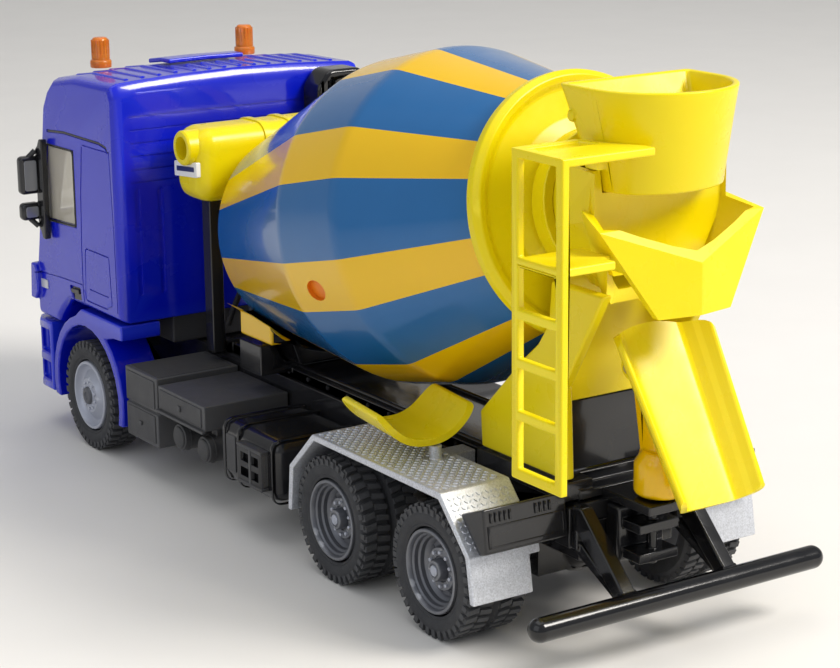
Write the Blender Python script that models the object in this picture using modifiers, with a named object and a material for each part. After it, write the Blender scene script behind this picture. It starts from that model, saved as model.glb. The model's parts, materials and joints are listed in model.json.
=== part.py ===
"""Toy cement mixer truck: cab, chassis, six wheels, turning drum, hopper, collector and chutes.

Lengths in this file are millimetres and become metres in the mesh builders.
Front is -Y, the vehicle's left side is +X and up is +Z. Heights are above the ground.
Positions along Y are measured from the rear-most axle; the root empty moves the whole
truck so that its bounding box is centred on the origin.
"""

import math

import bmesh
import bpy
from mathutils import Vector

MM = 0.001
GAP = 0.3
RUNNING_GAP = 0.05
REAR_AXLE_Y = 51.0

# Running gear
TYRE_RADIUS = 10.0
RIM_RADIUS = 6.3
AXLE_RADIUS = 1.5
AXLE_HEIGHT = 10.0
FRONT_AXLE_Y = -111.0
MIDDLE_AXLE_Y = -27.0
BACK_AXLE_Y = 0.0
TYRE_OUTER_X = 25.3
REAR_TYRE_INNER_X = 15.0
FRONT_TYRE_INNER_X = 18.9

# Chassis
RAIL_HALF_WIDTH = 8.5
CHASSIS_TOP = 20.5
CHASSIS_FRONT_Y = -127.6
CHASSIS_REAR_Y = 13.2
SUBFRAME_TOP = 22.3

# Cab
CAB_HALF_WIDTH = 25.2
CAB_WALL = 1.4
CAB_REAR_Y = -96.0
CAB_BOTTOM = 26.2
ARCH_CENTRE_Z = 10.5
ARCH_INNER_RADIUS = 12.4
ARCH_OUTER_RADIUS = 14.3

# Drum: distances along its axis start at the front edge of the cylindrical part
DRUM_ORIGIN_Y = -39.38
DRUM_ORIGIN_Z = 51.4
DRUM_TILT = math.radians(12.54)
DRUM_RADIUS = 25.8
DRUM_FRONT_RADIUS = 17.3
DRUM_REAR_RADIUS = 17.4
DRUM_WALL = 1.2
DRUM_FRONT_S = -36.6
DRUM_BELT_S = 16.2
DRUM_REAR_S = 40.9
DRUM_BORE = 2.25
RIM_DISC_RADIUS = 19.3
NECK_RADIUS = 9.2
NECK_END_S = 49.3

# Chutes
CHUTE_HINGE_Y = 17.4
CHUTE_HINGE_Z = 40.6
CHUTE_SLOPE = math.radians(57.6)
CHUTE_PIVOT_Y = 20.6
PIVOT_PIN_RADIUS = 1.4
TILT_PIN_RADIUS = 0.8
EXTENSION_CENTRE = (18.4, -15.6, 25.45)
PEG_Y = -9.8
PEG_X = 17.4

# Ladder and hopper
LADDER_X = 22.0
HOPPER_BOTTOM_Z = 66.5
HOPPER_TOP_Z = 80.2


# ---------------------------------------------------------------- scene and materials


def clear_scene():
    for old in list(bpy.data.objects):
        bpy.data.objects.remove(old, do_unlink=True)


def make_collection(name):
    collection = bpy.data.collections.new(name)
    bpy.context.scene.collection.children.link(collection)
    return collection


def make_material(name, colour, roughness, metallic=0.0, alpha=1.0):
    material = bpy.data.materials.new(name)
    material.use_nodes = True
    shader = material.node_tree.nodes["Principled BSDF"]
    shader.inputs["Base Color"].default_value = (*colour, 1.0)
    shader.inputs["Roughness"].default_value = roughness
    shader.inputs["Metallic"].default_value = metallic
    shader.inputs["Alpha"].default_value = alpha
    material.diffuse_color = (*colour, 1.0)
    return material


clear_scene()
PARTS = make_collection("toy_cement_mixer")
CUTTERS = make_collection("cutters")

ROOT = bpy.data.objects.new("root", None)
ROOT.location = (0.0, REAR_AXLE_Y * MM, 0.0)
PARTS.objects.link(ROOT)

PAINT_COLOURS = {
    "blue_paint": ((0.012, 0.028, 0.42), 0.25, 0.0),
    "yellow_plastic": ((0.87, 0.62, 0.01), 0.3, 0.0),
    "drum_plastic": ((0.05, 0.2, 0.42), 0.25, 0.0),
    "black_plastic": ((0.012, 0.012, 0.014), 0.3, 0.0),
    "grey_plastic": ((0.045, 0.047, 0.052), 0.55, 0.0),
    "silver_plastic": ((0.55, 0.57, 0.6), 0.45, 0.3),
    "rubber": ((0.03, 0.031, 0.034), 0.75, 0.0),
    "rim_dark": ((0.12, 0.125, 0.14), 0.45, 0.5),
    "rim_light": ((0.45, 0.47, 0.52), 0.4, 0.4),
    "steel": ((0.55, 0.55, 0.56), 0.3, 1.0),
    "amber_plastic": ((0.9, 0.22, 0.01), 0.2, 0.0),
    "clear_plastic": ((0.8, 0.84, 0.86), 0.08, 0.0),
    "mirror_plastic": ((0.02, 0.02, 0.022), 0.35, 0.0),
    "seat_plastic": ((0.02, 0.02, 0.022), 0.6, 0.0),
}


def own_material(kind, part_name):
    colour, roughness, metallic = PAINT_COLOURS[kind]
    return make_material(kind + "_" + part_name, colour, roughness, metallic)


# ---------------------------------------------------------------- mesh builders


def finish(name, mesh_bm, kind, smooth=None, place=None, parent=None, cutter=False):
    """Turn a bmesh into a named object in the parts or the cutters collection."""
    bmesh.ops.recalc_face_normals(mesh_bm, faces=mesh_bm.faces)
    mesh = bpy.data.meshes.new(name)
    mesh_bm.to_mesh(mesh)
    mesh_bm.free()
    item = bpy.data.objects.new(name, mesh)
    if cutter:
        CUTTERS.objects.link(item)
        item.hide_render = True
        item.display_type = "WIRE"
    else:
        PARTS.objects.link(item)
        mesh.materials.append(own_material(kind, name))
    if smooth is not None:
        mesh.shade_smooth()
        mesh.set_sharp_from_angle(angle=math.radians(smooth))
    if place is not None:
        item.location = Vector(place) * MM
    item.parent = parent if parent is not None else ROOT
    return item


def loops_to_bm(loops, closed_chain):
    """Skin a list of equal-length point loops; end loops are capped unless the chain closes."""
    mesh_bm = bmesh.new()
    rings = [[mesh_bm.verts.new(Vector(p) * MM) for p in loop] for loop in loops]
    count = len(rings)
    last = count if closed_chain else count - 1
    for k in range(last):
        a = rings[k]
        b = rings[(k + 1) % count]
        n = len(a)
        for i in range(n):
            j = (i + 1) % n
            mesh_bm.faces.new((a[i], a[j], b[j], b[i]))
    if not closed_chain:
        mesh_bm.faces.new(rings[0][::-1])
        mesh_bm.faces.new(rings[-1])
    return mesh_bm


def on_axis(axis, depth, point):
    """Place a 2D outline point on the plane across the given axis."""
    u, v = point
    if axis == "X":
        return (depth, u, v)
    if axis == "Y":
        return (u, depth, v)
    return (u, v, depth)


def prism(name, outline, axis, low, high, kind="black_plastic", **options):
    loops = [[on_axis(axis, depth, p) for p in outline] for depth in (low, high)]
    return finish(name, loops_to_bm(loops, False), kind, **options)


def box(name, low, high, kind="black_plastic", **options):
    outline = [(low[0], low[1]), (high[0], low[1]), (high[0], high[1]), (low[0], high[1])]
    return prism(name, outline, "Z", low[2], high[2], kind, **options)


def revolve(name, profile, axis, segments, kind="black_plastic", closed=True, **options):
    """Turn a profile of (distance along the axis, radius) points about a local axis."""
    mesh_bm = bmesh.new()
    rings = []
    for along, radius in profile:
        if radius < 1e-6:
            rings.append([mesh_bm.verts.new(Vector(on_axis(axis, along, (0, 0))) * MM)])
            continue
        ring = []
        for i in range(segments):
            angle = 2 * math.pi * i / segments
            flat = (radius * math.cos(angle), radius * math.sin(angle))
            ring.append(mesh_bm.verts.new(Vector(on_axis(axis, along, flat)) * MM))
        rings.append(ring)
    steps = len(rings) if closed else len(rings) - 1
    for k in range(steps):
        a = rings[k]
        b = rings[(k + 1) % len(rings)]
        for i in range(segments):
            j = (i + 1) % segments
            if len(a) == 1:
                mesh_bm.faces.new((a[0], b[j], b[i]))
            elif len(b) == 1:
                mesh_bm.faces.new((a[i], a[j], b[0]))
            else:
                mesh_bm.faces.new((a[i], a[j], b[j], b[i]))
    options.setdefault("smooth", 35)
    return finish(name, mesh_bm, kind, **options)


def rod(name, axis, radius, low, high, segments=20, **options):
    profile = [(low, 0), (low, radius), (high, radius), (high, 0)]
    return revolve(name, profile, axis, segments, closed=False, **options)


def hull(name, points, kind="black_plastic", **options):
    mesh_bm = bmesh.new()
    verts = [mesh_bm.verts.new(Vector(p) * MM) for p in points]
    result = bmesh.ops.convex_hull(mesh_bm, input=verts)
    loose = [v for v in result["geom_interior"] if isinstance(v, bmesh.types.BMVert)]
    bmesh.ops.delete(mesh_bm, geom=loose, context="VERTS")
    bmesh.ops.dissolve_limit(
        mesh_bm,
        angle_limit=math.radians(0.5),
        verts=mesh_bm.verts,
        edges=mesh_bm.edges,
    )
    return finish(name, mesh_bm, kind, **options)


def both_sides(points):
    return [(side * x, y, z) for side in (-1, 1) for x, y, z in points]


def combine(item, operation, tools):
    for tool in tools:
        modifier = item.modifiers.new(operation.lower() + "_" + tool.name, "BOOLEAN")
        modifier.operation = operation
        modifier.solver = "EXACT"
        modifier.object = tool


def add_solids(item, *tools):
    combine(item, "UNION", tools)


def carve(item, *tools):
    combine(item, "DIFFERENCE", tools)


def keep_inside(item, *tools):
    combine(item, "INTERSECT", tools)


def soften(item, width, segments=2, angle=40):
    modifier = item.modifiers.new("soft_edges", "BEVEL")
    modifier.width = width * MM
    modifier.segments = segments
    modifier.limit_method = "ANGLE"
    modifier.angle_limit = math.radians(angle)
    item.data.shade_smooth()
    item.data.set_sharp_from_angle(angle=math.radians(35))


def offset_outline(outline, distance):
    """Move every side of a closed outline inward by the distance."""
    area = sum(
        outline[i - 1][0] * outline[i][1] - outline[i][0] * outline[i - 1][1]
        for i in range(len(outline))
    )
    turn = 1.0 if area > 0 else -1.0
    moved = []
    for i, here in enumerate(outline):
        before = Vector(outline[i - 1])
        after = Vector(outline[(i + 1) % len(outline)])
        here = Vector(here)
        first = (here - before).normalized()
        second = (after - here).normalized()
        normal_a = Vector((-first.y, first.x)) * turn
        normal_b = Vector((-second.y, second.x)) * turn
        bisector = normal_a + normal_b
        moved.append(tuple(here + bisector * (distance / (1.0 + normal_a.dot(normal_b)))))
    return moved


def mirrored(outline):
    return [(-u, v) for u, v in outline]


def empty_at(name, y, z, x=0.0):
    marker = bpy.data.objects.new(name, None)
    marker.location = Vector((x, y, z)) * MM
    marker.parent = ROOT
    PARTS.objects.link(marker)
    return marker


# ---------------------------------------------------------------- chassis


def build_chassis():
    half = RAIL_HALF_WIDTH
    channel = [
        (-half, 12.0), (-half + 2.2, 12.0), (-half + 2.2, 17.6), (half - 2.2, 17.6),
        (half - 2.2, 12.0), (half, 12.0), (half, CHASSIS_TOP), (-half, CHASSIS_TOP),
    ]
    frame = prism("chassis_frame", channel, "Y", CHASSIS_FRONT_Y, CHASSIS_REAR_Y)
    additions = []
    for tag, y in (("front", FRONT_AXLE_Y), ("middle", MIDDLE_AXLE_Y), ("back", BACK_AXLE_Y)):
        block = box("axle_block_" + tag, (-half, y - 3.4, 6.6), (half, y + 3.4, 18.0), cutter=True)
        additions.append(block)
    additions.append(box("rear_beam", (-10.2, 8.4, 14.2), (10.2, 13.1, 20.2), cutter=True))
    additions.append(box("front_beam", (-14.0, -127.5, 13.0), (14.0, -125.0, 18.0), cutter=True))
    for tag, y in (("middle", MIDDLE_AXLE_Y), ("back", BACK_AXLE_Y)):
        casing = [(-4.6, 0.0), (-4.6, 3.0), (-2.4, 4.9), (2.4, 4.9), (4.6, 3.0), (4.6, 0.0)]
        additions.append(
            revolve("gear_case_" + tag, casing, "Y", 16, closed=False,
                    place=(0, y, AXLE_HEIGHT + 0.4), cutter=True)
        )
    add_solids(frame, *additions)
    bores = []
    for tag, y in (("front", FRONT_AXLE_Y), ("middle", MIDDLE_AXLE_Y), ("back", BACK_AXLE_Y)):
        bores.append(
            rod("axle_bore_" + tag, "X", AXLE_RADIUS + RUNNING_GAP, -12, 12, 24,
                place=(0, y, AXLE_HEIGHT), cutter=True)
        )
    carve(frame, *bores)

    base = CHASSIS_TOP + GAP
    subframe = box("mixer_subframe", (-8.0, -90.5, base), (8.0, 12.6, SUBFRAME_TOP))
    front_seat = [
        (-14.0, SUBFRAME_TOP - 0.6), (14.0, SUBFRAME_TOP - 0.6), (14.0, 26.9), (11.2, 26.9),
        (9.3, 23.7), (-9.3, 23.7), (-11.2, 26.9), (-14.0, 26.9),
    ]
    add_solids(
        subframe,
        prism("front_seat", front_seat, "Y", -74.2, -67.0, cutter=True),
        box("tank_post_left", (9.4, -90.3, base + 0.1), (11.8, -87.4, 48.2), cutter=True),
        box("tank_post_right", (-11.8, -90.3, base + 0.1), (-9.4, -87.4, 48.2), cutter=True),
        box("tank_post_beam", (-11.6, -90.2, base + 0.05), (11.6, -87.5, 22.9), cutter=True),
        box("rear_seat", (-10.6, -9.0, base + 0.1), (10.6, 12.4, 23.7), cutter=True),
    )
    carve(subframe, box("bracket_room", (-5.4, 9.3, 22.1), (5.4, 14.0, 26.0), cutter=True))


def build_underrun_bar():
    profile = [(-26.2, 0.0)]
    for step in range(1, 5):
        angle = math.radians(22.5 * step)
        profile.append((-26.2 + 1.73 * (1 - math.cos(angle)), 1.73 * math.sin(angle)))
    profile += [(-x, r) for x, r in reversed(profile)]
    bar = revolve("underrun_bar", profile, "X", 20, closed=False, place=(0, 25.5, 9.4))
    arm = [(13.5, 20.8), (15.6, 20.8), (25.6, 10.9), (23.9, 9.3), (13.5, 18.2)]
    strut = [(13.5, 16.4), (23.9, 10.1), (23.9, 8.8), (13.5, 14.6)]
    tools = []
    for side, tag in ((1, "left"), (-1, "right")):
        low, high = sorted((side * 7.9, side * 10.2))
        tools.append(prism("bar_arm_" + tag, arm, "X", low, high, cutter=True))
        low, high = sorted((side * 8.3, side * 9.8))
        tools.append(prism("bar_strut_" + tag, strut, "X", low, high, cutter=True))
        low, high = sorted((side * 7.9, side * 10.2))
        tools.append(box("bar_plate_" + tag, (low, 13.5, 14.4), (high, 14.9, 20.2), cutter=True))
    add_solids(bar, *tools)


def build_coupling():
    coupling = box("tow_coupling", (-4.2, 13.5, 11.9), (4.2, 16.6, 20.2))
    soften(coupling, 0.5)
    add_solids(
        coupling,
        box("jaw_low", (-3.5, 16.2, 12.6), (3.5, 20.6, 14.0), cutter=True),
        box("jaw_high", (-3.5, 16.2, 17.0), (3.5, 20.6, 18.4), cutter=True),
        rod("jaw_pin", "Z", 0.8, 11.9, 20.4, 12, place=(0, 18.9, 0), cutter=True),
    )


# ---------------------------------------------------------------- wheels


def build_wheels():
    rear_rim = [
        (23.3, 0), (23.3, 1.55), (15.4, 1.55), (15.4, 3.0), (16.0, RIM_RADIUS),
        (24.7, RIM_RADIUS), (25.2, 6.0), (25.2, 5.5), (24.4, 5.2), (22.7, 4.8),
        (22.4, 3.3), (23.3, 3.0), (23.3, 1.9), (24.6, 1.6), (24.6, 0),
    ]
    front_rim = [
        (23.4, 0), (23.4, 1.55), (19.2, 1.55), (19.2, 3.0), (19.6, RIM_RADIUS),
        (24.7, RIM_RADIUS), (25.2, 6.0), (25.2, 5.5), (24.2, 5.2), (23.9, 4.6),
        (25.0, 3.2), (25.2, 2.3), (25.8, 1.5), (25.8, 0),
    ]
    tyre_inner = RIM_RADIUS + GAP
    rear_tyre = [
        (15.3, tyre_inner), (15.0, 8.6), (15.6, 9.7), (16.6, 10.0), (19.5, 10.0),
        (19.9, 9.3), (20.4, 9.3), (20.8, 10.0), (23.8, 10.0), (24.8, 9.6),
        (TYRE_OUTER_X, 8.4), (24.9, tyre_inner),
    ]
    front_tyre = [
        (19.2, tyre_inner), (FRONT_TYRE_INNER_X, 8.4), (19.5, 9.6), (20.4, 10.0),
        (23.8, 10.0), (24.8, 9.6), (TYRE_OUTER_X, 8.4), (24.9, tyre_inner),
    ]
    rows = (
        ("front", FRONT_AXLE_Y, front_rim, front_tyre, "rim_light"),
        ("middle", MIDDLE_AXLE_Y, rear_rim, rear_tyre, "rim_dark"),
        ("back", BACK_AXLE_Y, rear_rim, rear_tyre, "rim_dark"),
    )
    for row, y, rim, tyre, rim_kind in rows:
        hub = empty_at("axis_" + row + "_axle", y, AXLE_HEIGHT)
        rod(row + "_axle", "X", AXLE_RADIUS, -23.1, 23.1, 24, kind="steel", parent=hub)
        for side, tag in ((1, "left"), (-1, "right")):
            flipped_rim = [(side * x, r) for x, r in rim]
            flipped_tyre = [(side * x, r) for x, r in tyre]
            revolve(row + "_rim_" + tag, flipped_rim, "X", 22, kind=rim_kind, closed=False,
                    parent=hub)
            revolve(row + "_tyre_" + tag, flipped_tyre, "X", 28, kind="rubber", parent=hub)


# ---------------------------------------------------------------- cab


def cab_outline(x, inset=0.0):
    """Side outline of the cab at a distance from the centre plane, as (y, z) points."""
    t = abs(x) / 25.0
    drop = 1.0 * t * t
    recess = 1.8 * t * t
    outline = [
        (CAB_REAR_Y, CAB_BOTTOM),
        (CAB_REAR_Y, 66.8 - drop),
        (-97.6, 69.2 - drop),
        (-112.0, 68.9 - drop),
        (-121.0, 67.6 - drop),
        (-125.6 + recess, 65.6 - 1.3 * drop),
        (-127.6 + recess, 62.6 - 1.3 * drop),
        (-132.3 + recess, 36.0),
        (-133.5 + recess, 30.5),
        (-133.7 + recess, 21.0),
        (-123.0, 21.0),
        (-121.7, 22.6),
        (-119.8, 24.4),
        (-117.2, CAB_BOTTOM),
    ]
    return offset_outline(outline, inset)


def cab_loft(name, inset, half_width, kind="blue_paint", rounded=True, **options):
    reach = [0.0, 0.44, 0.76, 0.93]
    steps = [(f * half_width, 0.0) for f in reach]
    if rounded:
        steps += [(half_width - 0.5, 0.45), (half_width, 1.3)]
    else:
        steps += [(half_width, 0.0)]
    stations = [(-x, e) for x, e in reversed(steps[1:])] + steps
    loops = []
    for x, extra in stations:
        loops.append([(x, y, z) for y, z in cab_outline(x, inset + extra)])
    return finish(name, loops_to_bm(loops, False), kind, smooth=30, **options)


SIDE_WINDOW = [(-124.2, 54.4), (-113.0, 54.6), (-113.0, 40.9), (-127.2, 40.2)]
WINDSCREEN = [(-20.8, 41.0), (20.8, 41.0), (19.4, 59.0), (-19.4, 59.0)]


def build_cab():
    shell = cab_loft("cab_shell", 0.0, CAB_HALF_WIDTH)
    hollow = cab_loft("cab_hollow", CAB_WALL, CAB_HALF_WIDTH - CAB_WALL, rounded=False, cutter=True)
    carve(
        shell,
        hollow,
        box("floor_opening", (-23.7, -119.6, 20.0), (23.7, -97.5, 30.0), cutter=True),
        prism("side_window_cut", SIDE_WINDOW, "X", -30, 30, cutter=True),
        prism("windscreen_cut", WINDSCREEN, "Y", -145, -118, cutter=True),
    )
    blade = [
        (-132.2, 24.4), (-130.2, 24.4), (-129.0, 26.0), (-129.0, 30.0), (-130.0, 31.2),
        (-131.6, 31.2),
    ]
    for side, tag in ((1, "left"), (-1, "right")):
        low, high = sorted((side * 24.3, side * 26.2))
        add_solids(shell, prism("corner_blade_" + tag, blade, "X", low, high, cutter=True))
    skin = cab_loft("glass_outside", 0.25, CAB_HALF_WIDTH - 0.3, rounded=False, cutter=True)
    core = cab_loft("glass_inside", 1.15, CAB_HALF_WIDTH - 1.15, rounded=False, cutter=True)
    pane = offset_outline(SIDE_WINDOW, GAP)
    for side, tag in ((1, "left"), (-1, "right")):
        low, high = sorted((side * 20.0, side * 28.0))
        window = prism("side_window_" + tag, pane, "X", low, high, kind="clear_plastic")
        keep_inside(window, skin)
        carve(window, core)
    screen = prism("windscreen", offset_outline(WINDSCREEN, GAP), "Y", -140, -122,
                   kind="clear_plastic")
    keep_inside(screen, skin)
    carve(screen, core)

    hatch_top = cab_loft("hatch_outside", -1.15, 24.0, rounded=False, cutter=True)
    hatch_bottom = cab_loft("hatch_inside", -0.35, 24.0, rounded=False, cutter=True)
    hatch = box("roof_hatch", (-7.6, -116.8, 60.0), (7.6, -108.6, 75.0), kind="blue_paint")
    keep_inside(hatch, hatch_top)
    carve(hatch, hatch_bottom)


def build_cab_interior():
    floor = [
        (-98.0, 26.7), (-98.0, 28.2), (-118.5, 28.2), (-121.0, 38.0), (-127.2, 39.4),
        (-127.4, 28.6), (-119.3, 26.7),
    ]
    interior = prism("cab_interior", floor, "X", -22.8, 22.8, kind="seat_plastic")
    tools = [box("floor_pillar", (-14.0, -118.5, CHASSIS_TOP + GAP), (14.0, -98.4, 27.4), cutter=True)]
    for side, tag in ((1, "left"), (-1, "right")):
        seat = [
            (-113.0, 28.0), (-113.0, 34.4), (-104.6, 33.6), (-104.2, 50.0), (-102.2, 50.2),
            (-101.0, 28.0),
        ]
        low, high = sorted((side * 5.6, side * 15.6))
        tools.append(prism("seat_" + tag, seat, "X", low, high, cutter=True))
    column = rod("steering_column", "Z", 0.7, -8.0, 0.6, 10, place=(10.6, -118.0, 42.0), cutter=True)
    column.rotation_euler = (math.radians(-30), 0, 0)
    tools.append(column)
    wheel_profile = [(0.0, 3.2), (0.7, 3.2), (0.7, 4.2), (0.0, 4.2)]
    wheel = revolve("steering_wheel", wheel_profile, "Z", 20, place=(10.6, -118.0, 42.0), cutter=True)
    wheel.rotation_euler = (math.radians(-30), 0, 0)
    spoke = box("steering_spoke", (-3.7, -0.6, 0.0), (3.7, 0.6, 0.6), place=(10.6, -118.0, 42.0),
                cutter=True)
    spoke.rotation_euler = (math.radians(-30), 0, 0)
    tools += [wheel, spoke]
    add_solids(interior, *tools)


def build_beacons():
    for side, tag in ((1, "left"), (-1, "right")):
        profile = [
            (67.8, 0), (67.8, 1.95), (69.0, 1.95), (69.2, 1.7), (72.8, 1.5), (73.3, 1.1),
            (73.3, 0),
        ]
        revolve("beacon_" + tag, profile, "Z", 20, kind="amber_plastic", closed=False,
                place=(side * 14.9, -121.2, 0))


def build_mirrors():
    for side, tag in ((1, "left"), (-1, "right")):
        arm = [
            (-124.2, 37.0), (-123.2, 37.0), (-123.2, 55.4), (-124.2, 55.4), (-124.9, 54.2),
            (-125.9, 53.4), (-125.9, 39.0), (-124.9, 38.2),
        ]
        low, high = sorted((side * 25.5, side * 26.7))
        mirror = prism("mirror_" + tag, arm, "X", low, high, kind="mirror_plastic")
        inner = side * 26.3
        outer = side * 30.0
        large_low, large_high = sorted((inner, outer))
        large = box("mirror_large_" + tag, (large_low, -127.3, 45.2), (large_high, -125.0, 52.2),
                    cutter=True)
        small = box("mirror_small_" + tag, (large_low, -127.3, 40.4), (large_high, -125.0, 43.6),
                    cutter=True)
        soften(large, 0.7)
        soften(small, 0.7)
        add_solids(mirror, large, small)


def build_cab_front():
    outline = [
        (0, -135.9), (12, -135.7), (20, -134.9), (24.0, -133.2), (25.4, -130.5), (25.4, -125.65),
        (18.0, -125.65), (18.0, -127.9), (0, -127.9),
    ]
    whole = outline + [(-x, y) for x, y in reversed(outline[1:-1])]
    bumper = prism("front_bumper", whole, "Z", 7.4, 20.6, kind="blue_paint")
    tools = []
    for side, tag in ((1, "left"), (-1, "right")):
        low, high = sorted((side * 23.6, side * 27.0))
        tools.append(box("step_high_" + tag, (low, -131.4, 14.4), (high, -126.8, 18.8), cutter=True))
        tools.append(box("step_low_" + tag, (low, -131.4, 9.2), (high, -126.8, 12.6), cutter=True))
        low, high = sorted((side * 13.5, side * 21.0))
        tools.append(box("lamp_pocket_" + tag, (low, -138.0, 10.0), (high, -134.0, 14.0), cutter=True))
    tools.append(box("air_slot", (-9.0, -138.0, 9.6), (9.0, -134.4, 14.0), cutter=True))
    carve(bumper, *tools)

    grille = box("front_grille", (-15.0, -135.0, 21.6), (15.0, -134.1, 33.0))
    slots = []
    for k in range(4):
        z = 23.0 + 2.5 * k
        slots.append(box("grille_slot_" + str(k), (-13.6, -136.0, z), (13.6, -134.6, z + 1.2),
                         cutter=True))
    carve(grille, *slots)


def arc(centre, radius, start, end, steps):
    cy, cz = centre
    points = []
    for k in range(steps + 1):
        angle = math.radians(start + (end - start) * k / steps)
        points.append((cy + radius * math.cos(angle), cz + radius * math.sin(angle)))
    return points


def build_fenders():
    centre = (FRONT_AXLE_Y, ARCH_CENTRE_Z)
    inner = arc(centre, ARCH_INNER_RADIUS, -16, 196, 16)
    outer_front = arc(centre, ARCH_OUTER_RADIUS, 193, 106, 8)
    outer_rear = arc(centre, ARCH_OUTER_RADIUS, 55, -13, 6)
    band = [(-112.5, 25.9), (-96.2, 25.9), (-96.2, 23.2), (-99.5, 23.0)]
    outline = inner + outer_front + band + outer_rear
    for side, tag in ((1, "left"), (-1, "right")):
        low, high = sorted((side * 17.6, side * 25.4))
        prism("fender_" + tag, outline, "X", low, high, kind="blue_paint", smooth=30)


def build_air_intake():
    outline = [
        (-23.6, 34.0), (-17.0, 34.0), (-17.0, 62.0), (-12.2, 62.0), (-12.2, 64.4), (-14.0, 67.0), (-17.8, 68.2), (-21.6, 67.0),
        (-23.6, 64.0),
    ]
    intake = prism("air_intake", outline, "Y", -95.7, -90.0)
    soften(intake, 0.9)


# ---------------------------------------------------------------- mixer


def build_tank():
    outline = [(-92.4, 48.6), (-82.0, 48.6), (-82.0, 61.4), (-92.4, 61.4)]
    tank = prism("water_tank", outline, "X", -16.0, 16.0, kind="yellow_plastic")
    soften(tank, 3.2, 3)
    spout = rod("tank_spout", "X", 3.0, 12.0, 17.4, 20, place=(0, -86.4, 58.1), cutter=True)
    add_solids(tank, spout)
    carve(tank, rod("tank_hole", "X", 2.0, 11.0, 19.0, 20, place=(0, -86.4, 58.1), cutter=True))


def build_drum():
    wall = DRUM_WALL
    shell_profile = [
        (DRUM_FRONT_S, DRUM_BORE), (DRUM_FRONT_S, 15.8), (DRUM_FRONT_S + 0.9, DRUM_FRONT_RADIUS),
        (0.0, DRUM_RADIUS), (DRUM_BELT_S, DRUM_RADIUS), (DRUM_REAR_S, DRUM_REAR_RADIUS),
        (DRUM_REAR_S, DRUM_REAR_RADIUS - wall), (DRUM_BELT_S, DRUM_RADIUS - wall),
        (0.0, DRUM_RADIUS - wall), (DRUM_FRONT_S + 2.2, DRUM_FRONT_RADIUS - wall),
        (DRUM_FRONT_S + 1.6, 5.2), (-31.0, 5.0), (-31.0, DRUM_BORE),
    ]
    shell = revolve("drum_shell", shell_profile, "Y", 40, kind="drum_plastic", smooth=20,
                    parent=DRUM_AXIS)
    oval = rod("inspection_recess", "Z", 1.0, 0.0, 4.0, 20, parent=DRUM_AXIS, cutter=True)
    oval.scale = (1.7, 2.4, 1.0)
    azimuth = math.radians(108)
    depth = (DRUM_RADIUS - 0.6) * MM
    oval.location = (math.sin(azimuth) * depth, 7.0 * MM, math.cos(azimuth) * depth)
    oval.rotation_euler = (0, azimuth, 0)
    carve(shell, oval)

    cap_profile = [
        (41.2, 16.6), (41.2, 18.5), (41.9, RIM_DISC_RADIUS), (43.2, RIM_DISC_RADIUS),
        (44.1, 18.5), (43.9, 17.6), (43.2, 16.6), (43.6, 12.5), (44.4, 10.2), (44.9, NECK_RADIUS),
        (NECK_END_S, NECK_RADIUS), (NECK_END_S, 8.0), (43.4, 8.0), (42.2, 12.0), (41.9, 15.0),
        (39.8, 15.0), (39.8, 15.8), (41.2, 15.8),
    ]
    revolve("drum_rear_cap", cap_profile, "Y", 36, kind="yellow_plastic", smooth=25,
            parent=DRUM_AXIS)


def build_drum_mounts():
    block_outline = [
        (-14.8, 28.2), (-10.6, 28.2), (-9.1, 24.0), (9.1, 24.0), (10.6, 28.2), (14.8, 28.2),
        (14.8, 32.4), (-14.8, 32.4),
    ]
    block = prism("drum_cradle", block_outline, "Y", -72.4, -62.0, kind="yellow_plastic")
    clearance = [(-60, 0), (-60, 12.9), (0, 26.7), (20, 26.7), (20, 0)]
    envelope = revolve("drum_clearance", clearance, "Y", 48, closed=False, parent=DRUM_AXIS,
                       cutter=True)
    carve(block, envelope)

    housing = [(-46.0, 0), (-46.0, 4.0), (-45.0, 5.0), (-38.4, 5.0), (-38.4, 2.2), (-32.0, 2.2),
               (-32.0, 0)]
    gearbox = revolve("drum_gearbox", housing, "Y", 24, kind="grey_plastic", closed=False)
    gearbox.location = DRUM_AXIS.location
    gearbox.rotation_euler = DRUM_AXIS.rotation_euler
    foot = [(-85.6, SUBFRAME_TOP + GAP), (-77.6, SUBFRAME_TOP + GAP), (-77.6, 40.0), (-84.8, 40.0)]
    add_solids(gearbox, prism("gearbox_foot", foot, "X", -3.6, 3.6, cutter=True))

    ring = [(45.4, 9.25), (45.4, 10.9), (48.4, 10.9), (48.4, 9.25)]
    bearing = revolve("rear_bearing", ring, "Y", 36, kind="yellow_plastic")
    bearing.location = DRUM_AXIS.location
    bearing.rotation_euler = DRUM_AXIS.rotation_euler
    seat = box("bearing_seat", (-8.3, 8.0, 44.0), (8.3, 10.2, 54.0), cutter=True)
    bore_profile = [(40.0, 0), (40.0, 10.0), (52.0, 10.0), (52.0, 0)]
    carve(seat, revolve("bearing_relief", bore_profile, "Y", 40, closed=False, parent=DRUM_AXIS,
                        cutter=True))
    add_solids(bearing, seat, box("bearing_apron", (-8.3, 9.2, 34.8), (8.3, 10.2, 44.6), cutter=True))


def build_pedestal():
    outline = [
        (-8.2, 24.0), (-8.6, 29.4), (2.0, 39.6), (5.5, 42.5), (8.0, 46.0), (8.6, 52.2),
        (20.4, 52.2), (11.6, 37.4), (12.2, 24.0),
    ]
    for side, tag in ((1, "left"), (-1, "right")):
        low, high = sorted((side * 8.6, side * 10.3))
        prism("pedestal_" + tag, outline, "X", low, high, kind="yellow_plastic")
    box("pedestal_panel", (-8.3, 7.6, 24.0), (8.3, 9.0, 34.4))


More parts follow.
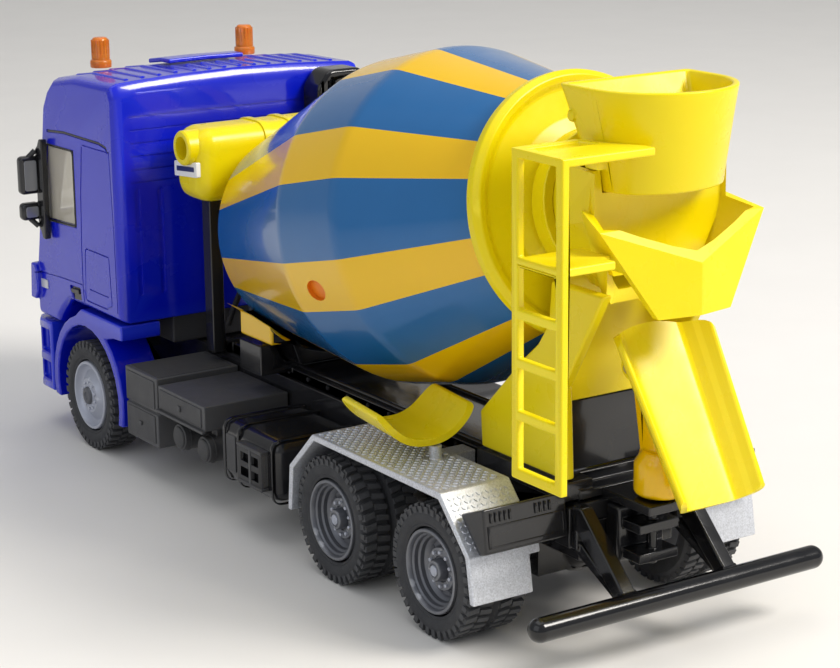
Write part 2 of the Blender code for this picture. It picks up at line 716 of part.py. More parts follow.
def build_collector():
    cheeks = both_sides([
        (11.5, 11.2, 69.5), (11.5, 11.2, 60.5), (5.5, 11.2, 51.8),
        (11.5, 20.5, 69.0), (11.5, 20.5, 63.0), (5.6, 20.5, 50.6),
    ])
    prow = both_sides([
        (12.3, 17.9, 63.9), (14.3, 24.5, 62.2), (0.0, 28.5, 57.1),
        (6.3, 27.2, 49.8), (0.0, 28.6, 49.9), (6.4, 15.5, 50.0),
    ])
    collector = hull("collector", cheeks, kind="yellow_plastic")
    add_solids(collector, hull("collector_prow", prow, cutter=True))
    inside_cheeks = both_sides([
        (10.4, 5.0, 80.0), (10.4, 5.0, 60.8), (4.9, 5.0, 53.0),
        (10.4, 19.4, 80.0), (10.4, 19.4, 63.3), (4.9, 19.4, 51.6),
    ])
    inside_prow = both_sides([
        (5.3, 26.3, 45.0), (0.0, 27.4, 45.0), (5.3, 16.7, 45.0),
        (5.3, 26.3, 49.8), (0.0, 27.4, 49.8), (5.3, 16.7, 49.8),
        (11.1, 18.7, 63.0), (13.1, 23.8, 62.0), (0.0, 27.3, 57.0),
        (11.1, 18.7, 80.0), (13.1, 23.8, 80.0), (0.0, 27.3, 80.0),
    ])
    carve(
        collector,
        hull("cheek_hollow", inside_cheeks, cutter=True),
        hull("prow_hollow", inside_prow, cutter=True),
        box("cheek_gate", (-10.4, 5.0, 63.4), (10.4, 32.0, 90.0), cutter=True),
    )
    wall = [
        (-11.3, 69.2), (-9.9, 69.2), (-9.5, 66.1), (9.5, 66.1), (9.9, 69.2), (11.3, 69.2),
        (11.9, 63.2), (7.4, 54.4), (-7.4, 54.4), (-11.9, 63.2),
    ]
    add_solids(collector, prism("collector_wall", wall, "Y", 17.9, 18.9, cutter=True))


def d_outline(half, front, back, z, inset):
    """D-shaped loop: straight front side, rounded back."""
    half -= inset
    front += inset
    back -= inset
    depth = min(half, (back - front) * 0.66)
    centre = back - depth
    loop = [(-half, front, z), (-half * 0.5, front, z), (half * 0.5, front, z), (half, front, z)]
    for k in range(13):
        angle = math.pi * k / 12
        loop.append((half * math.cos(angle), centre + depth * math.sin(angle), z))
    return loop


def build_hopper():
    low = (8.0, 16.8, 25.0, HOPPER_BOTTOM_Z)
    high = (11.0, 11.3, 28.0, HOPPER_TOP_Z)
    loops = [
        d_outline(*low, 0.0), d_outline(*high, 0.0), d_outline(*high, 1.0), d_outline(*low, 1.0),
    ]
    hopper = finish("hopper", loops_to_bm(loops, True), "yellow_plastic", smooth=25)
    tools = []
    for side, tag in ((1, "left"), (-1, "right")):
        a, b = sorted((side * 8.1, side * 11.3))
        tools.append(box("hopper_lug_" + tag, (a, 17.2, 69.45), (b, 20.2, 70.9), cutter=True))
        a, b = sorted((side * 8.9, side * 11.2))
        tools.append(rod("hopper_boss_" + tag, "X", 0.8, a, b, 14, place=(0, 13.9, 76.0),
                         cutter=True))
    add_solids(hopper, *tools)


def build_ladder():
    outer_x = LADDER_X + 0.6
    inner_x = LADDER_X - 0.6
    ladder = box("ladder", (inner_x, 16.2, 28.1), (outer_x, 27.4, 73.3), kind="yellow_plastic")
    openings = []
    levels = [29.7, 36.4, 37.8, 43.7, 45.1, 50.4, 51.8, 57.8, 58.9, 72.1]
    for k in range(0, len(levels), 2):
        openings.append(
            box("ladder_opening_" + str(k), (inner_x - 2, 17.7, levels[k]),
                (outer_x + 2, 25.9, levels[k + 1]), cutter=True)
        )
    carve(ladder, *openings)
    top_outline = [
        (outer_x - 0.2, 16.2), (outer_x - 0.2, 27.4), (7.4, 27.4), (7.4, 25.4), (9.4, 21.6),
        (11.6, 16.2),
    ]
    top = prism("ladder_top_step", top_outline, "Z", 72.1, 73.3, cutter=True)
    hole = [(20.9, 17.7), (20.9, 20.6), (11.6, 20.6), (12.6, 17.7)]
    carve(top, prism("ladder_top_hole", hole, "Z", 70, 76, cutter=True))
    step = box("ladder_mid_step", (12.3, 17.8, 57.7), (outer_x - 0.2, 27.2, 58.9), cutter=True)
    carve(step, box("mid_step_trim", (11.0, 24.4, 50), (13.6, 30, 60), cutter=True))
    add_solids(ladder, top, step)


def trough_loops(widths, depth, thickness, low, high, steps=12, floor=0.0):
    """Two end loops of an open trough along Y, open towards +Z; widths are halves, per end."""
    loops = []
    for y, half_width in ((low, widths[0]), (high, widths[1])):
        radius = (half_width ** 2 + depth ** 2) / (2 * depth)
        spread = math.asin(half_width / radius)
        loop = []
        for k in range(steps + 1):
            angle = -spread + 2 * spread * k / steps
            loop.append((radius * math.sin(angle), y, floor + radius * (1 - math.cos(angle))))
        for k in range(steps + 1):
            angle = spread - 2 * spread * k / steps
            outer = radius + thickness
            loop.append((outer * math.sin(angle), y, floor + radius - outer * math.cos(angle)))
        loops.append(loop)
    return loops


def build_chutes():
    base = box("chute_base", (-4.5, 9.4, CHASSIS_TOP + GAP), (4.5, CHUTE_PIVOT_Y + 3.2, 22.2))
    carve(base, box("base_notch", (-5.0, 9.0, 20.0), (5.0, 12.95, 23.0), cutter=True))
    add_solids(base, rod("pivot_pin", "Z", PIVOT_PIN_RADIUS, 21.5, 26.6, 20,
                         place=(0, CHUTE_PIVOT_Y, 0), cutter=True))

    swivel = empty_at("axis_chute_swivel", CHUTE_PIVOT_Y, 24.0)
    lobe = [(-1.5, 0), (-1.5, 3.2), (-0.9, 3.8), (3.2, 3.8), (5.0, 2.6), (5.0, 0)]
    bracket = revolve("chute_bracket", lobe, "Z", 24, kind="yellow_plastic", closed=False,
                      parent=swivel)
    arm = [(-2.4, 3.0), (1.5, 3.0), (-1.8, 15.6), (-2.1, 17.3), (-3.2, 17.9), (-4.4, 17.5),
           (-4.9, 16.0)]
    add_solids(bracket, prism("bracket_arm", arm, "X", -1.7, 1.7, parent=swivel, cutter=True))
    carve(
        bracket,
        rod("pivot_bore", "Z", PIVOT_PIN_RADIUS + RUNNING_GAP, -3.0, 3.0, 20, parent=swivel,
            cutter=True),
        rod("tilt_bore", "X", TILT_PIN_RADIUS + RUNNING_GAP, -4.0, 4.0, 16, cutter=True,
            place=(0, CHUTE_HINGE_Y, CHUTE_HINGE_Z)),
    )

    tilt = empty_at("axis_chute_tilt", CHUTE_HINGE_Y, CHUTE_HINGE_Z)
    tilt.rotation_euler = (-CHUTE_SLOPE, 0, 0)
    loops = trough_loops((7.1, 6.3), 3.5, 1.0, -3.2, 21.0, floor=2.7)
    chute = finish("discharge_chute", loops_to_bm(loops, False), "yellow_plastic", smooth=40,
                   parent=tilt)
    tools = []
    for side, tag in ((1, "left"), (-1, "right")):
        low, high = sorted((side * 2.0, side * 3.4))
        ear = [(-1.7, 0.0), (-1.2, -1.2), (0.0, -1.7), (1.2, -1.2), (1.7, 0.0), (2.4, 2.5),
               (-2.4, 2.5)]
        tools.append(prism("chute_ear_" + tag, ear, "X", low, high, parent=tilt, cutter=True))
    add_solids(chute, *tools)
    carve(chute, rod("ear_bore", "X", TILT_PIN_RADIUS + RUNNING_GAP, -5, 5, 16, parent=tilt,
                     cutter=True))
    rod("chute_pin", "X", TILT_PIN_RADIUS, -3.9, 3.9, 16, kind="steel", parent=tilt)

    x, y, z = EXTENSION_CENTRE
    loops = trough_loops((6.9, 6.9), 4.2, 1.0, -6.8, 6.8, floor=1.0)
    extension = finish("extension_chute", loops_to_bm(loops, False), "yellow_plastic", smooth=40,
                       place=(x, y, z))
    extension.rotation_euler = (0, 0, math.radians(-7))


# ---------------------------------------------------------------- side equipment


def build_mudguards():
    outer = [(-38.6, 8.8), (-37.9, 16.2), (-30.8, 22.9), (3.7, 23.0), (10.9, 15.4), (12.0, 8.6)]
    inner = [(11.0, 8.6), (9.9, 15.1), (3.3, 21.9), (-30.4, 21.9), (-36.9, 15.8), (-37.6, 8.8)]
    for side, tag in ((1, "left"), (-1, "right")):
        low, high = sorted((side * 13.8, side * 25.9))
        guard = prism("mudguard_" + tag, outer + inner, "X", low, high, kind="silver_plastic")
        low, high = sorted((side * 8.8, side * 16.0))
        tools = [box("guard_stay_" + tag, (low, -15.2, 19.4), (high, -11.8, 22.3), cutter=True)]
        if side > 0:
            tools.append(rod("chute_peg", "Z", 0.95, 22.4, 25.15, 16, place=(PEG_X, PEG_Y, 0),
                             cutter=True))
        add_solids(guard, *tools)
        low, high = sorted((side * 12.0, side * 15.6))
        carve(guard, box("flap_trim_" + tag, (low, 9.2, 6.0), (high, 13.0, 14.0), cutter=True))


def build_light_housings():
    outline = [(7.1, 20.6), (12.6, 22.8), (13.5, 16.4), (11.7, 15.7)]
    for side, tag in ((1, "left"), (-1, "right")):
        low, high = sorted((side * 10.6, side * 24.8))
        housing = prism("light_housing_" + tag, outline, "X", low, high)
        soften(housing, 0.35, 2)


def build_side_boxes():
    tool_box = box("tool_box", (8.9, -96.0, 6.6), (25.0, -84.1, 19.1), kind="grey_plastic")
    carve(tool_box, box("tool_box_seam", (24.6, -97.0, 12.6), (26.0, -83.0, 13.0), cutter=True))
    battery = box("battery_box", (8.9, -83.6, 13.9), (25.0, -67.0, 18.2), kind="grey_plastic")
    tools = []
    for k, y in enumerate((-77.0, -68.3)):
        tools.append(rod("air_tank_" + str(k), "X", 2.3, 12.0, 24.6, 20, place=(0, y, 10.5),
                         cutter=True))
        tools.append(box("air_tank_web_" + str(k), (14.0, y - 0.9, 11.6), (22.6, y + 0.9, 14.4),
                         cutter=True))
    add_solids(battery, *tools)

    fuel = box("fuel_tank", (8.9, -62.2, 7.2), (24.6, -44.4, 17.6))
    soften(fuel, 2.0, 2)
    step = box("fuel_step", (23.6, -54.6, 9.5), (25.8, -46.9, 15.3), cutter=True)
    carve(
        step,
        box("fuel_step_high", (25.0, -53.6, 12.9), (27.0, -47.9, 14.4), cutter=True),
        box("fuel_step_low", (25.0, -53.6, 10.4), (27.0, -47.9, 11.9), cutter=True),
    )
    add_solids(fuel, step)
    side_tank = box("right_side_tank", (-24.6, -92.0, 7.4), (-8.9, -46.0, 18.2), kind="grey_plastic")
    soften(side_tank, 2.0, 2)


DRUM_AXIS = empty_at("axis_drum", DRUM_ORIGIN_Y, DRUM_ORIGIN_Z)
DRUM_AXIS.rotation_euler = (DRUM_TILT, 0, 0)

build_chassis()
build_underrun_bar()
build_coupling()
build_wheels()
build_cab()
build_cab_interior()
build_beacons()
build_mirrors()
build_cab_front()
build_fenders()
build_air_intake()
build_tank()
build_drum()
build_drum_mounts()
build_pedestal()
build_collector()
build_hopper()
build_ladder()
build_chutes()
build_mudguards()
build_light_housings()
build_side_boxes()
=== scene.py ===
"""Toy cement mixer truck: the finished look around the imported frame.

Lengths are millimetres. Y is measured from the rear-most axle, as in the CAD source, and
BASE turns such a point into the frame's metres. Front is -Y and the left side is +X.
"""

import json
import math

import bmesh
import bpy
from mathutils import Matrix, Vector

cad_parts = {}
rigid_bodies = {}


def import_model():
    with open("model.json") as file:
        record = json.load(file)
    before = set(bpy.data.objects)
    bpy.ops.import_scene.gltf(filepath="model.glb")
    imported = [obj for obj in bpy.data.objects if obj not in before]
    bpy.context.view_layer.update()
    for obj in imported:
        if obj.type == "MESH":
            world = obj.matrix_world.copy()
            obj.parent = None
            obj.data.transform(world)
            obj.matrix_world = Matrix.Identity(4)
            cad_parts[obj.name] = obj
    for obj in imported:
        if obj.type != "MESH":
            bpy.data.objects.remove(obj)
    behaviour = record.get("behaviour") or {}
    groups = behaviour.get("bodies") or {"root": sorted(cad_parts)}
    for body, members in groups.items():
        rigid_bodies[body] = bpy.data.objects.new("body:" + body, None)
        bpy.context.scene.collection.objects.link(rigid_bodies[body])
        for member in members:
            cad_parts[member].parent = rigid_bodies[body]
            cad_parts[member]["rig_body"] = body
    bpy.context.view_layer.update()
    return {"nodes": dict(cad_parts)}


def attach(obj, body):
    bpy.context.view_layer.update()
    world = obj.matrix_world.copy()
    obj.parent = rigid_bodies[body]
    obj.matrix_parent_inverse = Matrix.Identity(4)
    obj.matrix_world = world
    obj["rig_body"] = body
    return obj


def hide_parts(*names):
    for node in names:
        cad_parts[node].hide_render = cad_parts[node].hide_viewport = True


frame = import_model()

SCENE = bpy.context.scene
SCENE.view_settings.view_transform = "Standard"
MM = 0.001
REAR_AXLE_Y = 51.0
MIDDLE_AXLE_Y = -27.0
FRONT_AXLE_Y = -111.0
WHEEL_RADIUS = 10.0
CAB_SIDE_X = 24.8
BASE = Matrix.Translation((0, REAR_AXLE_Y * MM, 0)) @ Matrix.Scale(MM, 4)
DRUM_TILT = math.radians(12.54)
DRUM = BASE @ Matrix.Translation((0, -39.38, 51.4)) @ Matrix.Rotation(DRUM_TILT, 4, "X")
CHUTE_SLOPE = math.radians(57.6)
CHUTE = BASE @ Matrix.Translation((0, 17.4, 40.6)) @ Matrix.Rotation(-CHUTE_SLOPE, 4, "X")
EXTENSION_TURN = math.radians(-7)
EXTENSION = (BASE @ Matrix.Translation((18.4, -15.6, 25.45))
             @ Matrix.Rotation(EXTENSION_TURN, 4, "Z"))
SIDES = ((1, "left"), (-1, "right"))
PLASTIC_IOR = 1.49
SCATTER_RADIUS = (1.0, 0.45, 0.1)
SCATTER_DEPTH = 0.0012
GRAIN_HEIGHT = 0.00012


# ---------------------------------------------------------------- materials


def node_of(tree, kind, **values):
    """A new shader node; each value sets a property of the node or else one of its sockets."""
    node = tree.nodes.new(kind)
    for name, value in values.items():
        if hasattr(node, name):
            setattr(node, name, value)
        else:
            node.inputs[name].default_value = value
    return node


def material(name, colour, rough, metallic=0.0, coat=0.0, coat_rough=0.05, mottle=0.08,
             mottle_scale=90.0, grain=0.0, grain_scale=2500.0, rough_range=0.06, edge_highlight=None,
             glass=0.0, under=0.0, flake=0.0, alpha=1.0, level=0.5):
    """A Principled material with colour mottling, uneven roughness, fine grain and a painted highlight
    on convex edges.
    """
    made = bpy.data.materials.new(name)
    made.use_nodes = True
    tree = made.node_tree
    shader = tree.nodes["Principled BSDF"]
    settings = {"Metallic": metallic, "Coat Weight": coat, "Coat Roughness": coat_rough,
                "IOR": PLASTIC_IOR, "Transmission Weight": glass, "Alpha": alpha,
                "Specular IOR Level": level}
    if under > 0:
        settings.update({"Subsurface Weight": under, "Subsurface Radius": SCATTER_RADIUS,
                         "Subsurface Scale": SCATTER_DEPTH})
    for socket, value in settings.items():
        shader.inputs[socket].default_value = value
    place = tree.nodes.new("ShaderNodeTexCoord").outputs["Object"]

    cloud = node_of(tree, "ShaderNodeTexNoise", Scale=mottle_scale, Detail=4.0, Roughness=0.6)
    tree.links.new(place, cloud.inputs["Vector"])
    tint = node_of(tree, "ShaderNodeMix", data_type="RGBA")
    low = [c * (1.0 - mottle) for c in colour]
    high = [min(1.0, c * (1.0 + mottle)) for c in colour]
    tint.inputs["A"].default_value = (*low, 1.0)
    tint.inputs["B"].default_value = (*high, 1.0)
    tree.links.new(cloud.outputs["Fac"], tint.inputs["Factor"])
    surface = tint.outputs["Result"]

    if flake > 0:
        spark = node_of(tree, "ShaderNodeTexVoronoi", Scale=5200.0)
        tree.links.new(place, spark.inputs["Vector"])
        glint = node_of(tree, "ShaderNodeMix", data_type="RGBA", blend_type="MULTIPLY")
        glint.inputs["Factor"].default_value = flake
        tree.links.new(surface, glint.inputs["A"])
        grey = node_of(tree, "ShaderNodeRGBToBW")
        tree.links.new(spark.outputs["Color"], grey.inputs["Color"])
        ramp = node_of(tree, "ShaderNodeMapRange")
        ramp.inputs["To Min"].default_value = 0.45
        ramp.inputs["To Max"].default_value = 1.6
        tree.links.new(grey.outputs["Val"], ramp.inputs["Value"])
        tree.links.new(ramp.outputs["Result"], glint.inputs["B"])
        surface = glint.outputs["Result"]

    # Convex edges, found by pointiness, blend towards a lighter colour of the same hue: a painted
    # highlight.
    if edge_highlight is not None:
        edges = node_of(tree, "ShaderNodeNewGeometry")
        edge_range = node_of(tree, "ShaderNodeMapRange")
        edge_range.inputs["From Min"].default_value = 0.53
        edge_range.inputs["From Max"].default_value = 0.62
        edge_range.inputs["To Max"].default_value = 0.55
        tree.links.new(edges.outputs["Pointiness"], edge_range.inputs["Value"])
        lit_edge = node_of(tree, "ShaderNodeMix", data_type="RGBA")
        tree.links.new(edge_range.outputs["Result"], lit_edge.inputs["Factor"])
        tree.links.new(surface, lit_edge.inputs["A"])
        lit_edge.inputs["B"].default_value = (*edge_highlight, 1.0)
        surface = lit_edge.outputs["Result"]
    tree.links.new(surface, shader.inputs["Base Color"])

    smear = node_of(tree, "ShaderNodeTexNoise", Scale=mottle_scale * 2.3, Detail=5.0)
    tree.links.new(place, smear.inputs["Vector"])
    gloss = node_of(tree, "ShaderNodeMapRange")
    gloss.inputs["From Min"].default_value = 0.3
    gloss.inputs["From Max"].default_value = 0.7
    gloss.inputs["To Min"].default_value = max(0.02, rough - rough_range)
    gloss.inputs["To Max"].default_value = rough + rough_range
    tree.links.new(smear.outputs["Fac"], gloss.inputs["Value"])
    tree.links.new(gloss.outputs["Result"], shader.inputs["Roughness"])

    if grain > 0:
        fine = node_of(tree, "ShaderNodeTexNoise", Scale=grain_scale, Detail=3.0, Roughness=0.65)
        tree.links.new(place, fine.inputs["Vector"])
        bump = node_of(tree, "ShaderNodeBump", Strength=grain, Distance=GRAIN_HEIGHT)
        tree.links.new(fine.outputs["Fac"], bump.inputs["Height"])
        tree.links.new(bump.outputs["Normal"], shader.inputs["Normal"])
    return made


# The lighter edge colour given to each material below is a painted highlight on its convex edges.
BLUE = material("blue_paint", (0.001, 0.008, 0.52), 0.26, coat=0.6, mottle=0.1, mottle_scale=40,
                grain=0.05, grain_scale=900, edge_highlight=(0.02, 0.05, 0.72), level=0.3)
YELLOW = material("lemon_plastic", (0.8, 0.645, 0.001), 0.3, mottle=0.04, grain=0.08,
                  grain_scale=1600, under=0.08, edge_highlight=(0.95, 0.8, 0.03), level=0.32)
DRUM_YELLOW = material("drum_yellow", (0.82, 0.49, 0.001), 0.2, coat=0.45, mottle=0.05,
                       mottle_scale=50, grain=0.04, grain_scale=700, under=0.08, level=0.3)
DRUM_BLUE = material("drum_blue", (0.012, 0.12, 0.33), 0.2, coat=0.45, mottle=0.1,
                     mottle_scale=60, grain=0.04, grain_scale=700, level=0.3)
DRUM_RECESS = material("drum_recess", (0.75, 0.2, 0.004), 0.4, mottle=0.15, grain=0.1)
BLACK = material("black_plastic", (0.005, 0.005, 0.006), 0.17, coat=0.25, coat_rough=0.06,
                 mottle=0.25, grain=0.08, grain_scale=1400, edge_highlight=(0.03, 0.03, 0.033), level=0.36)
GREY = material("grey_plastic", (0.036, 0.036, 0.038), 0.48, mottle=0.14, mottle_scale=160,
                grain=0.35, grain_scale=3600, edge_highlight=(0.12, 0.12, 0.125))
DARK_GREY = material("dark_plastic", (0.02, 0.02, 0.022), 0.5, mottle=0.2, grain=0.3,
                     grain_scale=3200, edge_highlight=(0.05, 0.05, 0.052))
SILVER = material("silver_paint", (0.62, 0.64, 0.69), 0.38, metallic=0.55, mottle=0.07,
                  mottle_scale=220, grain=0.4, grain_scale=5200, flake=0.35, rough_range=0.1)
RUBBER = material("tyre_rubber", (0.034, 0.035, 0.039), 0.72, mottle=0.22, mottle_scale=260,
                  grain=0.5, grain_scale=3800, rough_range=0.1, edge_highlight=(0.075, 0.076, 0.08))
RIM_DARK = material("rim_dark", (0.15, 0.155, 0.175), 0.36, metallic=0.6, mottle=0.12,
                    mottle_scale=300, grain=0.2, grain_scale=3000, edge_highlight=(0.5, 0.51, 0.54))
RIM_LIGHT = material("rim_light", (0.4, 0.42, 0.49), 0.42, metallic=0.35, mottle=0.1,
                     mottle_scale=300, grain=0.2, grain_scale=3000, edge_highlight=(0.62, 0.64, 0.7))
HUB_DARK = material("hub_dark", (0.1, 0.104, 0.118), 0.45, metallic=0.4, mottle=0.1, grain=0.2)
STEEL = material("steel", (0.52, 0.52, 0.54), 0.28, metallic=1.0, mottle=0.1, grain=0.15,
                 grain_scale=4200)
AMBER = material("amber_plastic", (1.0, 0.3, 0.004), 0.08, glass=0.55, mottle=0.05, grain=0.03,
                 coat=0.4)
AMBER_CORE = material("amber_core", (0.95, 0.22, 0.003), 0.3, mottle=0.1, grain=0.05)
# The cream colour of the window plastic is painted light: it stands in for the bright light seen
# through the windows.
CLEAR = material("clear_plastic", (0.86, 0.8, 0.66), 0.05, mottle=0.04, rough_range=0.02, coat=0.5,
                 alpha=0.42)
MIRROR_GLASS = material("mirror_face", (0.3, 0.31, 0.33), 0.16, metallic=0.5, mottle=0.08,
                        grain=0.04)
SEAT = material("seat_plastic", (0.05, 0.05, 0.055), 0.6, mottle=0.2, grain=0.3)
STICKER = material("label_white", (0.82, 0.82, 0.8), 0.4, mottle=0.03, grain=0.06)
STICKER_BAR = material("label_bar", (0.02, 0.03, 0.12), 0.4, mottle=0.05, grain=0.06)
LENS = material("lamp_lens", (0.75, 0.76, 0.78), 0.12, glass=0.35, mottle=0.04, coat=0.5)
CHROME = material("lamp_reflector", (0.7, 0.7, 0.72), 0.15, metallic=1.0, mottle=0.05)


# ---------------------------------------------------------------- mesh helpers


def span(side, inner, outer):
    """The low and high X of something between two distances from the middle, on one side."""
    return sorted((side * inner, side * outer))


def rectangle(low, high):
    return [(low[0], low[1]), (high[0], low[1]), (high[0], high[1]), (low[0], high[1])]


def on_axis(axis, depth, u, v):
    """A point from a depth along an axis and the two other coordinates."""
    if axis == "X":
        return (depth, u, v)
    if axis == "Y":
        return (u, depth, v)
    return (u, v, depth)


def add_loops(bm, loops, closed=False, mat=0):
    """Skin equal-length loops of points; the end loops are capped unless the chain closes."""
    rings = [[bm.verts.new(p) for p in loop] for loop in loops]
    count = len(rings)
    faces = []
    for k in range(count if closed else count - 1):
        a, b = rings[k], rings[(k + 1) % count]
        for i in range(len(a)):
            j = (i + 1) % len(a)
            faces.append(bm.faces.new((a[i], a[j], b[j], b[i])))
    if not closed:
        faces.append(bm.faces.new(rings[0][::-1]))
        faces.append(bm.faces.new(rings[-1]))
    for face in faces:
        face.material_index = mat


def add_prism(bm, outline, axis, low, high, mat=0):
    loops = [[on_axis(axis, depth, u, v) for u, v in outline] for depth in (low, high)]
    add_loops(bm, loops, mat=mat)


def add_box(bm, low, high):
    add_prism(bm, rectangle(low, high), "Z", low[2], high[2])


def add_band(bm, inner, outer, axis, low, high):
    """A flat ring between two outlines."""
    loops = [[on_axis(axis, depth, u, v) for u, v in ring]
             for ring, depth in ((inner, low), (outer, low), (outer, high), (inner, high))]
    add_loops(bm, loops, closed=True)


def add_turned(bm, profile, axis, segments, mats=None, centre=(0, 0, 0), closed=False, angles=None,
               face_mat=None):
    """Turn (along, radius) points about an axis.

    The material index comes from mats, per profile step, or face_mat(step, sector).
    """
    angles = angles or [2 * math.pi * i / segments for i in range(segments)]
    rings = []
    for along, radius in profile:
        if radius < 1e-6:
            point = Vector(on_axis(axis, along, 0, 0)) + Vector(centre)
            rings.append([bm.verts.new(point)])
            continue
        ring = []
        for angle in angles:
            flat = on_axis(axis, along, radius * math.sin(angle), radius * math.cos(angle))
            ring.append(bm.verts.new(Vector(flat) + Vector(centre)))
        rings.append(ring)
    steps = len(rings) if closed else len(rings) - 1
    count = len(angles)
    for k in range(steps):
        a, b = rings[k], rings[(k + 1) % len(rings)]
        for i in range(count):
            j = (i + 1) % count
            if len(a) == 1 and len(b) == 1:
                continue
            if len(a) == 1:
                face = bm.faces.new((a[0], b[j], b[i]))
            elif len(b) == 1:
                face = bm.faces.new((a[i], a[j], b[0]))
            else:
                face = bm.faces.new((a[i], a[j], b[j], b[i]))
            if face_mat is not None:
                face.material_index = face_mat(k, i)
            elif mats is not None:
                face.material_index = mats[k]


def add_tube(bm, points, radius, segments=10):
    """Sweep a round section along a line of points."""
    points = [Vector(p) for p in points]
    rings = []
    side = None
    for i, here in enumerate(points):
        before = points[max(i - 1, 0)]
        after = points[min(i + 1, len(points) - 1)]
        ahead = (after - before).normalized()
        if side is None:
            side = ahead.orthogonal().normalized()
        side = (side - ahead * side.dot(ahead)).normalized()
        across = ahead.cross(side)
        rings.append([
            here + side * (radius * math.cos(2 * math.pi * k / segments))
            + across * (radius * math.sin(2 * math.pi * k / segments))
            for k in range(segments)
        ])
    add_loops(bm, rings)


def rounded(points, radius, steps=4, closed=True):
    """Round the corners of a 2D outline; radius is one number or one per corner."""
    made = []
    count = len(points)
    for i, here in enumerate(points):
        r = radius[i] if isinstance(radius, (list, tuple)) else radius
        if r <= 0 or (not closed and i in (0, count - 1)):
            made.append(tuple(here))
            continue
        here = Vector(here)
        before = Vector(points[i - 1])
        after = Vector(points[(i + 1) % count])
        to_before = before - here
        to_after = after - here
        half = to_before.angle(to_after) / 2
        reach = min(r / max(math.tan(half), 1e-4), to_before.length * 0.48, to_after.length * 0.48)
        a = here + to_before.normalized() * reach
        b = here + to_after.normalized() * reach
        for k in range(steps + 1):
            t = k / steps
            made.append(tuple(a * (1 - t) ** 2 + here * (2 * t * (1 - t)) + b * t ** 2))
    return made


def smooth_mesh(mesh, angle):
    mesh.shade_smooth()
    mesh.set_sharp_from_angle(angle=math.radians(angle))


def bake(item):
    """Replace an object's mesh by its modified one and drop the modifiers."""
    bpy.context.view_layer.update()
    graph = bpy.context.evaluated_depsgraph_get()
    mesh = bpy.data.meshes.new_from_object(item.evaluated_get(graph), preserve_all_data_layers=True,
                                           depsgraph=graph)
    item.modifiers.clear()
    item.data = mesh
    mesh.name = item.name
    return item


def new_object(name, bm, mats, matrix=None):
    """An object from a bmesh in millimetres; the matrix turns it into the frame's metres."""
    bm.transform(matrix or BASE)
    bmesh.ops.recalc_face_normals(bm, faces=bm.faces)
    mesh = bpy.data.meshes.new(name)
    bm.to_mesh(mesh)
    bm.free()
    for mat in mats:
        mesh.materials.append(mat)
    item = bpy.data.objects.new(name, mesh)
    SCENE.collection.objects.link(item)
    return item


def bevelled(item, width, segments=3, angle=30, smooth=35, clamp=False):
    """Round the edges that turn by more than an angle, then shade smooth."""
    if width > 0:
        bevel = item.modifiers.new("edge", "BEVEL")
        bevel.width = width * MM
        bevel.segments = segments
        bevel.limit_method = "ANGLE"
        bevel.angle_limit = math.radians(angle)
        bevel.use_clamp_overlap = clamp
        bake(item)
    smooth_mesh(item.data, smooth)
    return item


def cut(item, cutters, operation="DIFFERENCE"):
    """Cut with, or join, closed meshes that are given as (bmesh, matrix) or bmesh."""
    tools = []
    for k, tool in enumerate(cutters):
        bm, matrix = tool if isinstance(tool, tuple) else (tool, BASE)
        cutter = new_object("tool_%d" % k, bm, list(item.data.materials), matrix)
        boolean = item.modifiers.new("cut", "BOOLEAN")
        boolean.operation = operation
        boolean.solver = "EXACT"
        boolean.object = cutter
        tools.append(cutter)
    bake(item)
    for cutter in tools:
        mesh = cutter.data
        bpy.data.objects.remove(cutter)
        bpy.data.meshes.remove(mesh)
    return item


def settle(item, body, replaces=(), weighted=True):
    """Weighted normals, then the piece rides on its body."""
    if weighted:
        normals = item.modifiers.new("normals", "WEIGHTED_NORMAL")
        normals.keep_sharp = True
        bake(item)
    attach(item, body)
    if replaces:
        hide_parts(*replaces)
    return item


def piece(name, bm, mats, body="truck", replaces=(), matrix=None, bevel=0.0, segments=3,
          smooth=35):
    """A finished piece from a filled bmesh."""
    item = new_object(name, bm, mats, matrix)
    bevelled(item, bevel, segments, smooth=smooth)
    return settle(item, body, replaces)


def body_of_node(node):
    return frame["nodes"][node]["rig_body"]


def refined(node, mat, bevel=0.25, segments=3, angle=30, smooth=35, fine_cuts=None,
            clamp=False):
    """A finished copy of a CAD node: clean faces, rounded edges and any cut details."""
    bm = bmesh.new()
    bm.from_mesh(frame["nodes"][node].data)
    bmesh.ops.remove_doubles(bm, verts=bm.verts, dist=2e-6)
    bmesh.ops.dissolve_limit(bm, angle_limit=math.radians(0.6), verts=bm.verts, edges=bm.edges)
    mats = mat if isinstance(mat, list) else [mat]
    item = new_object(node + "_finish", bm, mats, Matrix.Identity(4))
    bevelled(item, bevel, segments, angle, smooth, clamp)
    if fine_cuts:
        cut(item, fine_cuts)
        smooth_mesh(item.data, smooth)
    return settle(item, body_of_node(node), (node,))


def bm_box(low, high):
    bm = bmesh.new()
    add_box(bm, low, high)
    return bm


def bm_prism(outline, axis, low, high, mat=0):
    bm = bmesh.new()
    add_prism(bm, outline, axis, low, high, mat)
    return bm


def ribbon(points, width):
    """The closed outline of a line of 2D points with a width."""
    left, right = [], []
    count = len(points)
    for i, here in enumerate(points):
        here = Vector(here)
        before = Vector(points[max(i - 1, 0)])
        after = Vector(points[min(i + 1, count - 1)])
        ahead = ((here - before).normalized() if i else Vector((0, 0))) + (
            (after - here).normalized() if i < count - 1 else Vector((0, 0)))
        ahead.normalize()
        turn = 1.0
        if 0 < i < count - 1:
            first = (here - before).normalized()
            turn = max(0.5, abs(ahead.dot(first)))
        normal = Vector((-ahead.y, ahead.x)) * (width / 2 / turn)
        left.append(tuple(here + normal))
        right.append(tuple(here - normal))
    return left + right[::-1]


